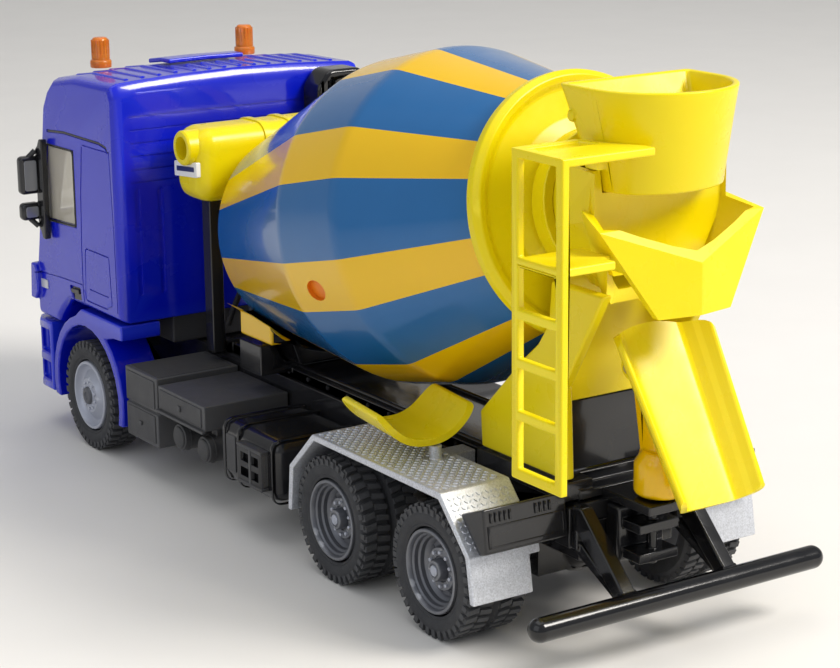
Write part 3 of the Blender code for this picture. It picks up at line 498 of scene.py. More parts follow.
def groove(points, side, width=0.3, depth=0.28, surface=25.2):
    """A cutter for a panel line on one side of the cab."""
    return bm_prism(ribbon(points, width), "X", *span(side, surface - depth, surface + 2.0))


# ---------------------------------------------------------------- cab

HOOD_RIB_Y = [-118.6 + 0.9 * k for k in range(22)]
HATCH_RIB_Y = [-107.4 + 0.9 * k for k in range(10)]
RIB_RADIUS = 0.66
RIB_SINK = 0.42
WINDOW = [(-124.2, 54.4), (-113.0, 54.6), (-113.0, 40.9), (-127.2, 40.2)]
DOOR_LINE = [(-109.2, 56.0), (-110.4, 47.0), (-111.0, 38.0), (-111.2, 30.0), (-110.9, 27.2)]
HATCH_LINE = [(-100.2, 37.6), (-109.6, 37.6), (-110.2, 28.0), (-101.8, 28.0), (-99.6, 28.8),
              (-100.15, 37.4)]


def height_on(item, x, y, top=90.0):
    """Height of a piece under a point, in millimetres, found by looking straight down at it."""
    start = BASE @ Vector((x, y, top))
    hit, point, _, _ = item.ray_cast(start, Vector((0, 0, -1)))
    return (point.z / MM) if hit else None


def add_roof_ribs(bm, roof, places, stations):
    """Round ribs that follow the roof's surface and stand half out of it."""
    for x in places:
        heights = [(y, height_on(roof, x, y)) for y in stations]
        line = [(x, y, z - RIB_SINK) for y, z in heights if z is not None]
        add_tube(bm, line, RIB_RADIUS, 12)


def cab_lines():
    """Cutters for the panel lines, recesses and grooves of the cab."""
    lines = []
    for side, _ in SIDES:
        lines += [
            groove(DOOR_LINE, side, 0.32),
            groove(rounded(HATCH_LINE, 0.9, 3, closed=False), side, 0.28, 0.25),
            groove([(-108.4, 30.3), (-100.9, 30.3)], side, 0.24, 0.2),
            groove([(-130.0, 29.6), (-122.0, 30.2), (-111.4, 30.6)], side, 0.3, 0.22),
            groove([(-108.9, 56.3), (-98.4, 56.4), (-97.7, 42.0), (-97.5, 28.0)], side, 0.26, 0.22),
        ]
        handle = rounded([(-117.0, 29.6), (-112.4, 29.9), (-111.9, 27.2), (-115.8, 26.9)], 0.5)
        lines.append(bm_prism(handle, "X", *span(side, CAB_SIDE_X, 27.0)))
        drip = ribbon([(-123.6, 56.9), (-116.5, 57.5), (-102.2, 57.5), (-99.6, 57.1), (-98.8, 56.2)],
                      0.55)
        lines.append(bm_prism(drip, "X", *span(side, CAB_SIDE_X + 0.05, 27.0)))
    for x in (-21.2, -16.8, 16.8, 21.2):
        bar = rounded(rectangle((x - 0.5, 31.0), (x + 0.5, 50.0)), 0.48)
        lines.append(bm_prism(bar, "Y", -96.25, -94.0))
    for k in range(5):
        z = 53.2 + 2.3 * k
        lines.append(bm_box((-22.2, -96.2, z), (22.2, -94.0, z + 0.3)))
    lines.append(bm_box((-22.4, -96.2, 51.0), (22.4, -94.0, 51.3)))
    return lines


def build_cab():
    cab = refined("cab_shell", BLUE, bevel=0.35, angle=35, fine_cuts=cab_lines())
    bm = bmesh.new()
    add_roof_ribs(bm, cab, (-20.6, -17.4, -14.2, -11.0, 11.0, 14.2, 17.4, 20.6), HOOD_RIB_Y)
    add_roof_ribs(bm, cab, (-7.5, -4.5, -1.5, 1.5, 4.5, 7.5), HATCH_RIB_Y)
    piece("roof_ribs", bm, [BLUE], smooth=60)

    refined("roof_hatch", BLUE, bevel=0.3)
    build_cab_sides()
    refined("windscreen", CLEAR, bevel=0.08, segments=2)
    refined("cab_interior", SEAT, bevel=0.35)
    refined("front_bumper", BLUE, bevel=0.45)
    refined("front_grille", BLACK, bevel=0.2)
    build_front_details()


def build_cab_sides():
    """Windows with their seals, black strips painting the shade in the drip groove and handle recess,
    grips, side markers and fenders.
    """
    for side, tag in SIDES:
        refined("side_window_" + tag, CLEAR, bevel=0.08, segments=2)
        bm = bmesh.new()
        ring = rounded(WINDOW, 0.9, 4)
        add_tube(bm, [(side * 25.15, y, z) for y, z in ring + ring[:2]], 0.22, 8)
        piece("window_seal_" + tag, bm, [BLACK], smooth=60)

        # Black strip in the drip groove and black floor in the handle recess: painted shade on what is
        # blue cab.
        bm = bmesh.new()
        strip = ribbon([(-123.4, 56.9), (-116.5, 57.5), (-102.2, 57.5), (-99.7, 57.1), (-99.0, 56.4)],
                       0.34)
        add_prism(bm, strip, "X", *span(side, 24.7, 25.1))
        recess = rounded([(-116.7, 29.3), (-112.6, 29.6), (-112.2, 27.4), (-115.7, 27.1)], 0.4)
        add_prism(bm, recess, "X", *span(side, 24.7, 24.9))
        piece("painted_groove_shade_" + tag, bm, [BLACK], bevel=0.06, segments=2)

        bm = bmesh.new()
        grip = rounded([(-116.2, 29.1), (-112.9, 29.3), (-112.8, 28.5), (-116.0, 28.3)], 0.3)
        add_prism(bm, grip, "X", *span(side, 24.7, 25.35))
        piece("door_grip_" + tag, bm, [BLACK], bevel=0.12)

        bm = bmesh.new()
        plate = rounded([(-129.6, 28.5), (-126.2, 28.6), (-126.2, 26.9), (-129.7, 26.8)], 0.3)
        add_prism(bm, plate, "X", *span(side, CAB_SIDE_X, 25.4))
        piece("side_marker_" + tag, bm, [LENS], bevel=0.12)

        refined("fender_" + tag, BLUE, bevel=0.35)


def build_front_details():
    """Headlamps and wipers."""
    for side, tag in SIDES:
        bm = bmesh.new()
        frame_line = rounded(rectangle((side * 13.8, 10.3), (side * 20.7, 13.7)), 0.7)
        add_prism(bm, frame_line, "Y", -134.3, -134.05)
        for x in (15.6, 18.9):
            add_turned(bm, [(-134.2, 1.25), (-134.55, 1.2), (-134.6, 0.9), (-134.35, 0.0)], "Y", 28,
                       centre=(side * x, 0, 12.0), mats=[1, 1, 1])
        piece("headlamp_" + tag, bm, [CHROME, LENS], "truck", smooth=45)

        bm = bmesh.new()
        blade = [(side * 4.0, -131.2, 42.3), (side * 9.0, -130.6, 45.0), (side * 16.0, -129.2, 48.2)]
        a, b, c = (Vector(p) for p in blade)
        wiper = []
        for k in range(9):
            t = k / 8
            wiper.append(a * (1 - t) ** 2 + b * 2 * t * (1 - t) + c * t ** 2)
        add_tube(bm, [p + Vector((0, -1.0, 0)) for p in wiper], 0.28, 8)
        piece("wiper_" + tag, bm, [BLACK], smooth=60)


BEACON_X = 14.9
BEACON_Y = -121.2
BEACON_RIBS = 16
BEACON_RIB_CIRCLE = 1.52


def build_beacons():
    """Ribbed amber shells, each around a solid core."""
    for side, tag in SIDES:
        bm = bmesh.new()
        profile = [(67.85, 0.0), (67.85, 1.9), (68.1, 1.95), (68.95, 1.95), (69.15, 1.85),
                   (69.25, 1.66), (70.3, 1.62), (70.4, 1.55), (71.6, 1.56), (71.7, 1.5),
                   (72.7, 1.48), (73.05, 1.36), (73.25, 1.1), (73.3, 0.6), (73.3, 0.0)]
        add_turned(bm, profile, "Z", 48, centre=(side * BEACON_X, BEACON_Y, 0))
        for k in range(BEACON_RIBS):
            angle = 2 * math.pi * k / BEACON_RIBS
            x = side * BEACON_X + BEACON_RIB_CIRCLE * math.sin(angle)
            y = BEACON_Y + BEACON_RIB_CIRCLE * math.cos(angle)
            add_tube(bm, [(x, y, 69.2), (x, y, 72.8)], 0.14, 6)
        piece("beacon_shell_" + tag, bm, [AMBER], "truck",
              replaces=("beacon_" + tag,), smooth=40)
        bm = bmesh.new()
        core = [(68.0, 0.0), (68.0, 1.2), (69.2, 1.2), (69.4, 0.6), (71.2, 0.6), (71.5, 0.95),
                (72.4, 0.95), (72.6, 0.0)]
        add_turned(bm, core, "Z", 24, centre=(side * BEACON_X, BEACON_Y, 0))
        piece("beacon_core_" + tag, bm, [AMBER_CORE], smooth=40)


def build_mirrors():
    for side, tag in SIDES:
        refined("mirror_" + tag, BLACK, bevel=0.22)
        bm = bmesh.new()
        for z0, z1 in ((45.9, 51.5), (41.0, 43.0)):
            low, high = span(side, 26.95, 29.35)
            face = rounded(rectangle((low, z0), (high, z1)), 0.45)
            add_prism(bm, face, "Y", -125.1, -124.86)
        piece("mirror_faces_" + tag, bm, [MIRROR_GLASS], "truck", bevel=0.07,
              segments=2)
        bm = bmesh.new()
        for root, bend, end in ((53.2, 51.8, 52.0), (39.2, 40.6, 40.6)):
            add_tube(bm, [(side * 26.9, -125.4, root), (side * 28.2, -126.0, bend),
                          (side * 28.3, -126.1, end)], 0.5, 10)
        piece("mirror_stays_" + tag, bm, [BLACK], "truck", smooth=60)


# ---------------------------------------------------------------- drum and tank

STRIPE_PAIRS = 8
YELLOW_START = math.radians(7.8)
YELLOW_WIDTH = math.radians(18.2)
RECESS_AZIMUTH = math.radians(108)
RECESS_ALONG = 7.0
RECESS_BOTTOM = 25.05


def stripe_sectors():
    """Angles around the drum, and the stripe colour that starts at each of them."""
    period = 2 * math.pi / STRIPE_PAIRS
    angles, colours = [], []
    for k in range(STRIPE_PAIRS):
        start = YELLOW_START + k * period
        yellow = (0, start, YELLOW_WIDTH, 9)
        blue = (1, start + YELLOW_WIDTH, period - YELLOW_WIDTH, 14)
        for colour, first, width, count in (yellow, blue):
            angles += [first + width * i / count for i in range(count)]
            colours += [colour] * count
    return angles, colours


def build_drum():
    """The striped drum with its oval recess, and the dished disc at its rear end."""
    angles, stripe = stripe_sectors()
    outer = [(-36.6, 2.25), (-36.6, 17.0), (0.0, 25.8), (16.2, 25.8), (40.9, 17.4)]
    outer = rounded(outer, [0, 1.1, 9.0, 9.0, 0], 9, closed=False)
    inner = [(40.9, 16.3), (16.2, 24.6), (0.0, 24.6), (-34.4, 16.1), (-35.0, 5.2), (-31.0, 5.0),
             (-31.0, 2.25)]
    profile = outer + inner
    shown = len(outer) - 1

    def face_mat(k, i):
        return stripe[i] if 0 < k < shown else 0

    bm = bmesh.new()
    add_turned(bm, profile, "Y", 0, closed=True, angles=angles, face_mat=face_mat)
    item = new_object("drum_body", bm, [DRUM_YELLOW, DRUM_BLUE, DRUM_RECESS], DRUM)
    hole = bmesh.new()
    ring = [(1.7 * math.cos(2 * math.pi * k / 40), 2.4 * math.sin(2 * math.pi * k / 40))
            for k in range(40)]
    add_prism(hole, ring, "Z", 0.0, 4.0, mat=2)
    turn = Matrix.Rotation(RECESS_AZIMUTH, 4, "Y")
    move = Matrix.Translation((math.sin(RECESS_AZIMUTH) * RECESS_BOTTOM, RECESS_ALONG,
                               math.cos(RECESS_AZIMUTH) * RECESS_BOTTOM))
    cut(item, [(hole, DRUM @ move @ turn)])
    smooth_mesh(item.data, 32)
    settle(item, "drum", ("drum_shell",), weighted=False)

    cap = [(41.2, 16.6), (41.2, 18.3), (41.8, 19.3), (43.2, 19.3), (44.1, 18.5), (43.9, 17.6),
           (43.25, 16.7), (43.6, 12.5), (44.4, 10.2), (44.9, 9.2), (49.3, 9.2), (49.3, 8.0),
           (43.4, 8.0), (42.2, 12.0), (41.9, 15.0), (39.8, 15.0), (39.8, 15.8), (41.2, 15.8)]
    radii = [0, 0.4, 0.5, 0.6, 0.5, 0.5, 0.8, 1.6, 1.0, 0.6, 0.35, 0.35] + [0] * 6
    cap = rounded(cap, radii, 4)
    bm = bmesh.new()
    add_turned(bm, cap, "Y", 144, closed=True)
    piece("drum_end_disc", bm, [YELLOW], "drum", ("drum_rear_cap",), DRUM,
          smooth=40)


TANK_LOW = (-92.4, 48.6)
TANK_HIGH = (-82.0, 61.4)
TANK_STRAP_WIDTH = 1.3
SPOUT_CENTRE = (0, -86.4, 58.1)


def tank_section(grow, radius):
    """The water tank's rounded YZ outline, grown by a margin."""
    low = [v - grow for v in TANK_LOW]
    high = [v + grow for v in TANK_HIGH]
    return rounded(rectangle(low, high), radius, 8)


def build_tank():
    """The water tank with its spout, two straps and a plain label."""
    bm = bmesh.new()
    loops = []
    end = [(16.0, 2.6), (15.8, 1.8), (15.2, 0.9), (14.2, 0.3), (13.0, 0.0)]
    for x, inset in [(-x, inset) for x, inset in end] + end[::-1]:
        section = tank_section(-inset, max(0.8, 3.6 - inset * 0.7))
        loops.append([(x, y, z) for y, z in section])
    add_loops(bm, loops)
    item = new_object("tank_body", bm, [YELLOW])
    spout = bmesh.new()
    add_turned(spout, [(10.0, 0), (10.0, 3.0), (17.1, 3.0), (17.4, 2.75), (17.4, 0)], "X", 44,
               centre=SPOUT_CENTRE)
    cut(item, [spout], "UNION")
    hole = bmesh.new()
    add_turned(hole, [(11.0, 0), (11.0, 2.0), (19.0, 2.0), (19.0, 0)], "X", 40,
               centre=SPOUT_CENTRE)
    cut(item, [hole])
    smooth_mesh(item.data, 30)
    settle(item, "truck", ("water_tank",))

    bm = bmesh.new()
    for x in (-3.4, 2.1):
        add_band(bm, tank_section(-0.1, 3.6), tank_section(0.28, 3.8), "X", x, x + TANK_STRAP_WIDTH)
    piece("tank_straps", bm, [YELLOW], bevel=0.1, segments=2)

    bm = bmesh.new()
    add_prism(bm, rounded([(-91.3, 52.6), (-83.3, 53.3), (-83.3, 55.9), (-91.3, 55.2)], 0.25), "X",
              14.6, 16.25)
    piece("plain_label", bm, [STICKER], "truck", bevel=0.05, segments=2)
    bm = bmesh.new()
    add_prism(bm, [(-90.4, 53.6), (-84.2, 54.15), (-84.2, 55.0), (-90.4, 54.45)], "X", 16.2, 16.29)
    piece("plain_label_bar", bm, [STICKER_BAR], "truck")


CRADLE_BAND_Z = 28.0


def build_mixer_parts():
    cradle = refined("drum_cradle", [DRUM_YELLOW, BLACK], bevel=0.5)
    for face in cradle.data.polygons:
        face.material_index = 1 if face.center.z < CRADLE_BAND_Z * MM else 0
    refined("drum_gearbox", DARK_GREY, bevel=0.3)
    refined("rear_bearing", YELLOW, angle=40)
    for _, tag in SIDES:
        refined("pedestal_" + tag, YELLOW, bevel=0.4)
    refined("pedestal_panel", BLACK)
    refined("collector", YELLOW, bevel=0.2, segments=2, angle=25, clamp=True)
    refined("ladder", YELLOW, bevel=0.3)
    build_intake()
    refined("mixer_subframe", BLACK)


def build_intake():
    """The tall air intake behind the cab: a pipe box with a rounded head and a ribbed grille."""
    bm = bmesh.new()
    post = rounded(rectangle((-23.5, -95.6), (-17.1, -90.1)), 1.3, 5)
    add_prism(bm, post, "Z", 34.0, 63.0)
    item = new_object("intake_body", bm, [BLACK])
    head = bmesh.new()
    outline = rounded([(-23.6, 58.0), (-12.2, 60.4), (-12.2, 65.2), (-14.6, 68.2), (-21.2, 68.2),
                       (-23.6, 65.2)], [0.8, 1.0, 2.6, 2.4, 2.4, 2.6], 8)
    add_prism(head, outline, "Y", -95.7, -90.0)
    cut(item, [head], "UNION")
    slots = []
    for k in range(9):
        x = -22.6 + 1.15 * k
        slots.append(bm_box((x, -90.35, 61.4), (x + 0.5, -89.0, 66.4)))
    bevelled(item, 0.7, 4, 40, 35)
    cut(item, slots)
    smooth_mesh(item.data, 35)
    settle(item, "truck", ("air_intake",))


HOPPER_LOW = (9.3, 16.9, 26.2, 66.3)
HOPPER_HIGH = (11.4, 11.3, 29.3, 80.2)
HOPPER_WALL = 1.0


def hopper_section(half, front, back, z, inset, corner):
    """A D-shaped loop: straight across the front and round behind."""
    half -= inset
    front += inset
    back -= inset
    depth = min(half, (back - front) * 0.66)
    centre = back - depth
    points = [(-half, front), (half, front)]
    for k in range(25):
        angle = math.pi * k / 24
        points.append((half * math.cos(angle), centre + depth * math.sin(angle)))
    radii = [corner, corner] + [0.0] * 25
    return [(x, y, z) for x, y in rounded(points, radii, 4)]


def build_hopper():
    """The feed hopper with its two lugs and two bosses."""
    near_top = [a + (b - a) * 0.93 for a, b in zip(HOPPER_LOW, HOPPER_HIGH)]
    loops = [
        hopper_section(*HOPPER_LOW, 0.0, 1.0), hopper_section(*near_top, 0.0, 1.2),
        hopper_section(*HOPPER_HIGH, 0.0, 1.2), hopper_section(*HOPPER_HIGH, HOPPER_WALL, 0.7),
        hopper_section(*HOPPER_LOW, HOPPER_WALL, 0.5),
    ]
    bm = bmesh.new()
    add_loops(bm, loops, closed=True)
    item = new_object("hopper_body", bm, [YELLOW])
    lugs = []
    for side, _ in SIDES:
        low, high = span(side, 8.1, 11.3)
        lugs.append(bm_box((low, 17.2, 69.45), (high, 20.2, 70.9)))
        boss = bmesh.new()
        low, high = span(side, 8.9, 11.2)
        add_turned(boss, [(low, 0), (low, 0.8), (high, 0.8), (high, 0)], "X", 24,
                   centre=(0, 13.9, 76.0))
        lugs.append(boss)
    cut(item, lugs, "UNION")
    bevelled(item, 0.3, 3, 50, 50)
    settle(item, "truck", ("hopper",), weighted=False)


# ---------------------------------------------------------------- chutes


CHUTE_TOP = -5.2
CHUTE_END = 21.7
CHUTE_HALF_WIDTHS = (7.9, 6.5)
CHUTE_CROWN = 2.0
FLOOR_EDGE_SOFTNESS = 0.16


def trough_section(share, power, flat):
    """Height and slope inside a trough of depth 1, at a share of its half width.

    The floor is a power curve, or flat up to a share and then a slanted side.
    """
    if flat is None:
        return share ** power, power * share ** (power - 1)
    step = (share - flat) / (1 - flat)
    reach = math.hypot(step, FLOOR_EDGE_SOFTNESS)
    top = (1 + math.hypot(1, FLOOR_EDGE_SOFTNESS)) / 2
    return (step + reach) / 2 / top, (1 + step / reach) / 2 / (1 - flat) / top


def trough(widths, depth, thickness, low, high, floor, corner, power=2.0, flat=None, steps=56):
    """An open trough along Y with rounded lips, and the block that rounds its ends' corners.

    The widths are halves, one per end.
    """
    loops = []
    for y, half_width in ((low, widths[0]), (high, widths[1])):
        inner, outer = [], []
        for k in range(steps + 1):
            turn = math.sin(math.pi * (k / steps - 0.5))
            x = half_width * turn
            height, rise = trough_section(abs(turn), power, flat)
            slope = depth * rise / half_width
            z = floor + depth * height
            length = math.hypot(1.0, slope)
            lean = math.copysign(slope, x) / length
            inner.append((x, y, z))
            outer.append((x + lean * thickness, y, z - thickness / length))
        far, near = [], []
        for a, b, lip in ((inner[-1], outer[-1], far), (outer[0], inner[0], near)):
            middle = Vector([(p + q) / 2 for p, q in zip(a, b)])
            arm = Vector(a) - middle
            up = Vector((0, 0, 1)) - arm.normalized() * arm.normalized().z
            up = up.normalized() * arm.length
            for k in range(1, 6):
                angle = math.pi * k / 6
                lip.append(tuple(middle + arm * math.cos(angle) + up * math.sin(angle)))
        loops.append(inner + far + outer[::-1] + near)
    bm = bmesh.new()
    add_loops(bm, loops)
    top = floor + depth + 0.3
    keep = rounded([(low, floor - 3.0), (high, floor - 3.0), (high, top + 0.4), (low, top + 0.4)],
                   [0, 0, corner, corner], 7)
    return bm, bm_prism(keep, "X", -20, 20)


def build_chutes():
    """The discharge chute on its arm, and the stored extension chute."""
    bm, keep = trough(CHUTE_HALF_WIDTHS, 3.4, 0.95, CHUTE_TOP, CHUTE_END, floor=2.8, corner=2.6,
                      flat=0.68)
    item = new_object("discharge_trough", bm, [YELLOW], CHUTE)
    crown = []
    for k in range(41):
        x = -10.0 + 0.5 * k
        drop = CHUTE_CROWN * (x / CHUTE_HALF_WIDTHS[0]) ** 2
        drop += 1.2 * max(0.0, (abs(x) - 7.0) / 1.5) ** 2
        crown.append((x, CHUTE_TOP + drop))
    plan = bm_prism(crown + [(10.0, 30.0), (-10.0, 30.0)], "Z", -5.0, 12.0)
    cut(item, [(keep, CHUTE), (plan, CHUTE)], "INTERSECT")
    ears = []
    for side, _ in SIDES:
        outline = rounded([(-1.7, 0.0), (-1.2, -1.2), (0.0, -1.7), (1.2, -1.2), (1.7, 0.0), (2.4, 2.5),
                           (-2.4, 2.5)], [0.8] * 5 + [0, 0], 3)
        ears.append((bm_prism(outline, "X", *span(side, 2.0, 3.4)), CHUTE))
    cut(item, ears, "UNION")
    smooth_mesh(item.data, 40)
    settle(item, "chute", ("discharge_chute",), weighted=False)
    bm = bmesh.new()
    pin = [(-3.9, 0), (-3.9, 0.65), (-3.75, 0.8), (3.75, 0.8), (3.9, 0.65), (3.9, 0)]
    add_turned(bm, pin, "X", 24)
    piece("tilt_pin", bm, [STEEL], "chute", ("chute_pin",), CHUTE, smooth=30)
    # The arm is given the drum's deeper orange-yellow: a painted shade of the yellow plastic in its
    # shadow.
    refined("chute_bracket", DRUM_YELLOW, bevel=0.3, angle=40)
    refined("chute_base", BLACK)

    bm, keep = trough((6.9, 6.9), 4.2, 1.0, -6.8, 6.8, floor=1.0, corner=3.4, power=2.4)
    item = new_object("extension_trough", bm, [YELLOW], EXTENSION)
    cut(item, [(keep, EXTENSION)], "INTERSECT")
    smooth_mesh(item.data, 40)
    settle(item, "stored_extension", ("extension_chute",), weighted=False)


# ---------------------------------------------------------------- wheels


TREAD_COUNT = 38
NUT_COUNT = 10
OUTER_SHOULDER = [(24.1, 9.5), (24.7, 9.2), (25.15, 8.7), (25.28, 8.1), (25.2, 7.4), (25.0, 7.1),
                  (25.05, 6.9), (24.85, 6.6)]


def around_wheel(radius, angle):
    """The Y and Z of a point on a circle around an axle."""
    return radius * math.sin(angle), WHEEL_RADIUS + radius * math.cos(angle)


def add_lug(bm, side, x0, x1, angle, width, r0, r1, skew=0.0):
    """A tread block between two distances from the middle, standing on the tyre."""
    corners = []
    for radius, shrink in ((r0, 1.0), (r1, 0.82)):
        for x, lean in ((x0, 0.0), (x1, skew)):
            for turn in (-0.5, 0.5):
                place = around_wheel(radius, angle + turn * width * shrink + lean)
                corners.append((side * x, *place))
    v = [bm.verts.new(c) for c in corners]
    order = ((0, 1, 3, 2), (4, 6, 7, 5), (0, 4, 5, 1), (2, 3, 7, 6), (0, 2, 6, 4), (1, 5, 7, 3))
    for quad in order:
        bm.faces.new([v[i] for i in quad])


def shift_y(bm, y):
    bmesh.ops.translate(bm, vec=(0, y, 0), verts=bm.verts)


def tyre_mesh(side, y, dual):
    """A tyre with rows of tread blocks; a dual tyre has a groove between its two halves."""
    bm = bmesh.new()
    if dual:
        profile = [(15.6, 6.6), (15.1, 7.4), (15.0, 8.5), (15.4, 9.25), (16.2, 9.55), (19.3, 9.5),
                   (19.8, 8.9), (20.4, 8.9), (20.9, 9.5)]
        rows = [(15.25, 17.2), (17.5, 19.3), (20.8, 22.8), (23.1, 24.95)]
    else:
        profile = [(19.4, 6.6), (19.0, 7.4), (18.95, 8.4), (19.4, 9.2), (20.2, 9.5)]
        rows = [(19.3, 21.2), (21.5, 22.7), (23.0, 24.95)]
    profile = [(side * x, r) for x, r in profile + OUTER_SHOULDER]
    add_turned(bm, profile, "X", 120, closed=True, centre=(0, 0, WHEEL_RADIUS))
    last = len(rows) - 1
    for n, (x0, x1) in enumerate(rows):
        width = 0.112 if n in (0, last) else 0.1
        for k in range(TREAD_COUNT):
            angle = 2 * math.pi * (k + 0.5 * (n % 2)) / TREAD_COUNT
            add_lug(bm, side, x0, x1, angle, width, 9.0, 9.98, skew=0.03 if n % 2 else -0.03)
    for k in range(TREAD_COUNT):
        angle = 2 * math.pi * (k + 0.5 * (last % 2)) / TREAD_COUNT
        add_lug(bm, side, 24.3, 25.2, angle, 0.1, 8.6, 9.55)
    shift_y(bm, y)
    return bm


def rim_parts(bm, side, y, front):
    """A rim with its hub and nuts: bulging outwards in front, dished on the rear axles."""
    if front:
        inner_x = 19.2
        profile = [(19.4, 6.3), (24.75, 6.3), (25.1, 6.2), (25.2, 6.0), (25.15, 5.75), (24.7, 5.55),
                   (24.35, 5.35), (24.1, 5.05), (24.0, 4.7), (24.25, 4.1), (24.8, 3.4), (25.0, 3.2),
                   (25.1, 3.1), (25.15, 1.75), (25.3, 1.65), (25.65, 1.5), (25.75, 1.3), (25.75, 0.75),
                   (25.6, 0.6), (25.6, 0.0)]
        dark_from = 14
        nut_circle, nut_low, nut_high = 2.45, 25.1, 25.42
    else:
        inner_x = 15.4
        profile = [(15.6, 6.3), (24.75, 6.3), (25.1, 6.22), (25.2, 6.05), (25.15, 5.8), (24.9, 5.62),
                   (24.5, 5.55), (24.4, 5.4), (24.3, 5.25), (23.7, 5.2), (23.6, 5.0), (23.5, 4.85),
                   (22.9, 4.75), (22.75, 4.5), (22.6, 4.3), (22.35, 4.1), (22.3, 3.5), (22.5, 3.25),
                   (23.1, 3.2), (23.2, 3.1), (23.2, 1.95), (23.0, 1.8), (23.0, 1.65), (24.2, 1.6),
                   (24.45, 1.45), (24.5, 1.1), (24.35, 0.95), (24.35, 0.0)]
        dark_from = len(profile)
        nut_circle, nut_low, nut_high = 2.55, 23.15, 23.6
    bore_end = profile[-1][0] - 1.2
    full = profile[::-1] + [(inner_x, 3.2), (inner_x, 1.56), (bore_end, 1.56), (bore_end, 0.0)]
    mats = [1 if len(profile) - 1 - k > dark_from else 0 for k in range(len(full) - 1)]

    def turned(points, segments, mats, place=(0.0, WHEEL_RADIUS)):
        add_turned(bm, [(side * x, r) for x, r in points], "X", segments, mats=mats,
                   centre=(0, *place))

    turned(full, 96, mats)
    nut = [(nut_low - 0.3, 0), (nut_low - 0.3, 0.3), (nut_high - 0.06, 0.3), (nut_high, 0.225),
           (nut_high, 0)]
    for k in range(NUT_COUNT):
        turned(nut, 6, [2] * 4, around_wheel(nut_circle, 2 * math.pi * k / NUT_COUNT))
    if not front:
        # Darker discs where the hand holes are: painted shade of the holes.
        hole = [(22.0, 0), (22.0, 0.34), (22.42, 0.34), (22.42, 0)]
        for k in range(NUT_COUNT):
            turned(hole, 12, [1] * 3, around_wheel(3.86, 2 * math.pi * (k + 0.5) / NUT_COUNT))
        turned([(24.0, 0), (24.0, 0.8), (24.5, 0.8), (24.58, 0.7), (24.58, 0)], 32, [2] * 4)
    shift_y(bm, y)


def build_wheels():
    rows = (("front", FRONT_AXLE_Y, True), ("middle", MIDDLE_AXLE_Y, False), ("back", 0.0, False))
    for row, y, front in rows:
        body = row + "_wheelset"
        frame["nodes"][row + "_axle"].data.materials.clear()
        frame["nodes"][row + "_axle"].data.materials.append(STEEL)
        for side, tag in SIDES:
            piece(row + "_tread_" + tag, tyre_mesh(side, y, not front), [RUBBER], body,
                  (row + "_tyre_" + tag,), smooth=32)
            bm = bmesh.new()
            rim_parts(bm, side, y, front)
            mats = [RIM_LIGHT, HUB_DARK, RIM_LIGHT] if front else [RIM_DARK, HUB_DARK, RIM_LIGHT]
            piece(row + "_wheel_" + tag, bm, mats, body,
                  (row + "_rim_" + tag,), smooth=35)


# ---------------------------------------------------------------- chassis and side equipment


TREAD_PITCH = 0.86
TREAD_COLUMNS = 13
PEG_PLACE = (17.4, -9.8)


def build_mudguards():
    """The mudguards with raised tread marks on their tops, left out around the storage peg."""
    top = [(-37.9, 16.2), (-30.8, 22.9), (3.7, 23.0), (10.9, 15.4)]
    lengths = [math.dist(a, b) for a, b in zip(top, top[1:])]
    total = sum(lengths)
    rows = int(total / TREAD_PITCH)
    for side, tag in SIDES:
        refined("mudguard_" + tag, SILVER, bevel=0.22)
        bm = bmesh.new()
        for i in range(rows):
            along = (i + 0.5) * total / rows
            k = 0
            while along > lengths[k]:
                along -= lengths[k]
                k += 1
            if along < 0.5 or lengths[k] - along < 0.5:
                continue
            a, b = Vector(top[k]), Vector(top[k + 1])
            ahead = (b - a).normalized()
            here = a + ahead * along
            normal = Vector((0, -ahead.y, ahead.x))
            forward = Vector((0, ahead.x, ahead.y))
            for j in range(TREAD_COLUMNS):
                x = side * (14.7 + (j + 0.5) * 10.6 / TREAD_COLUMNS)
                if side > 0 and math.dist((x, here.x), PEG_PLACE) < 1.5:
                    continue
                centre = Vector((x, here.x, here.y)) + normal * -0.02
                slant = 1 if (i + j) % 2 else -1
                long_way = (forward + Vector((slant, 0, 0))).normalized()
                short_way = (forward - Vector((slant, 0, 0))).normalized()
                ring = [centre + long_way * 0.43, centre + short_way * 0.17,
                        centre - long_way * 0.43, centre - short_way * 0.17]
                low = [bm.verts.new(p) for p in ring]
                high = [bm.verts.new(centre + (p - centre) * 0.55 + normal * 0.17) for p in ring]
                bm.faces.new(high)
                bm.faces.new(low[::-1])
                for n in range(4):
                    m = (n + 1) % 4
                    bm.faces.new((low[n], low[m], high[m], high[n]))
        piece("tread_plate_" + tag, bm, [SILVER], smooth=20)


LAMP_FACE_TOP = (12.75, 22.3)
LAMP_FACE_FOOT = (13.45, 17.0)


def on_lamp_face(t, out):
    """A point down the sloping rear face of a lamp housing, and out of it."""
    (y0, z0), (y1, z1) = LAMP_FACE_TOP, LAMP_FACE_FOOT
    return y0 + (y1 - y0) * t + out * 0.99, z0 + (z1 - z0) * t + out * 0.13


def add_lamp_bar(bm, low, high, t0, t1, out):
    outline = [on_lamp_face(t0, -0.25), on_lamp_face(t1, -0.25), on_lamp_face(t1, out),
               on_lamp_face(t0, out)]
    add_prism(bm, outline, "X", low, high)


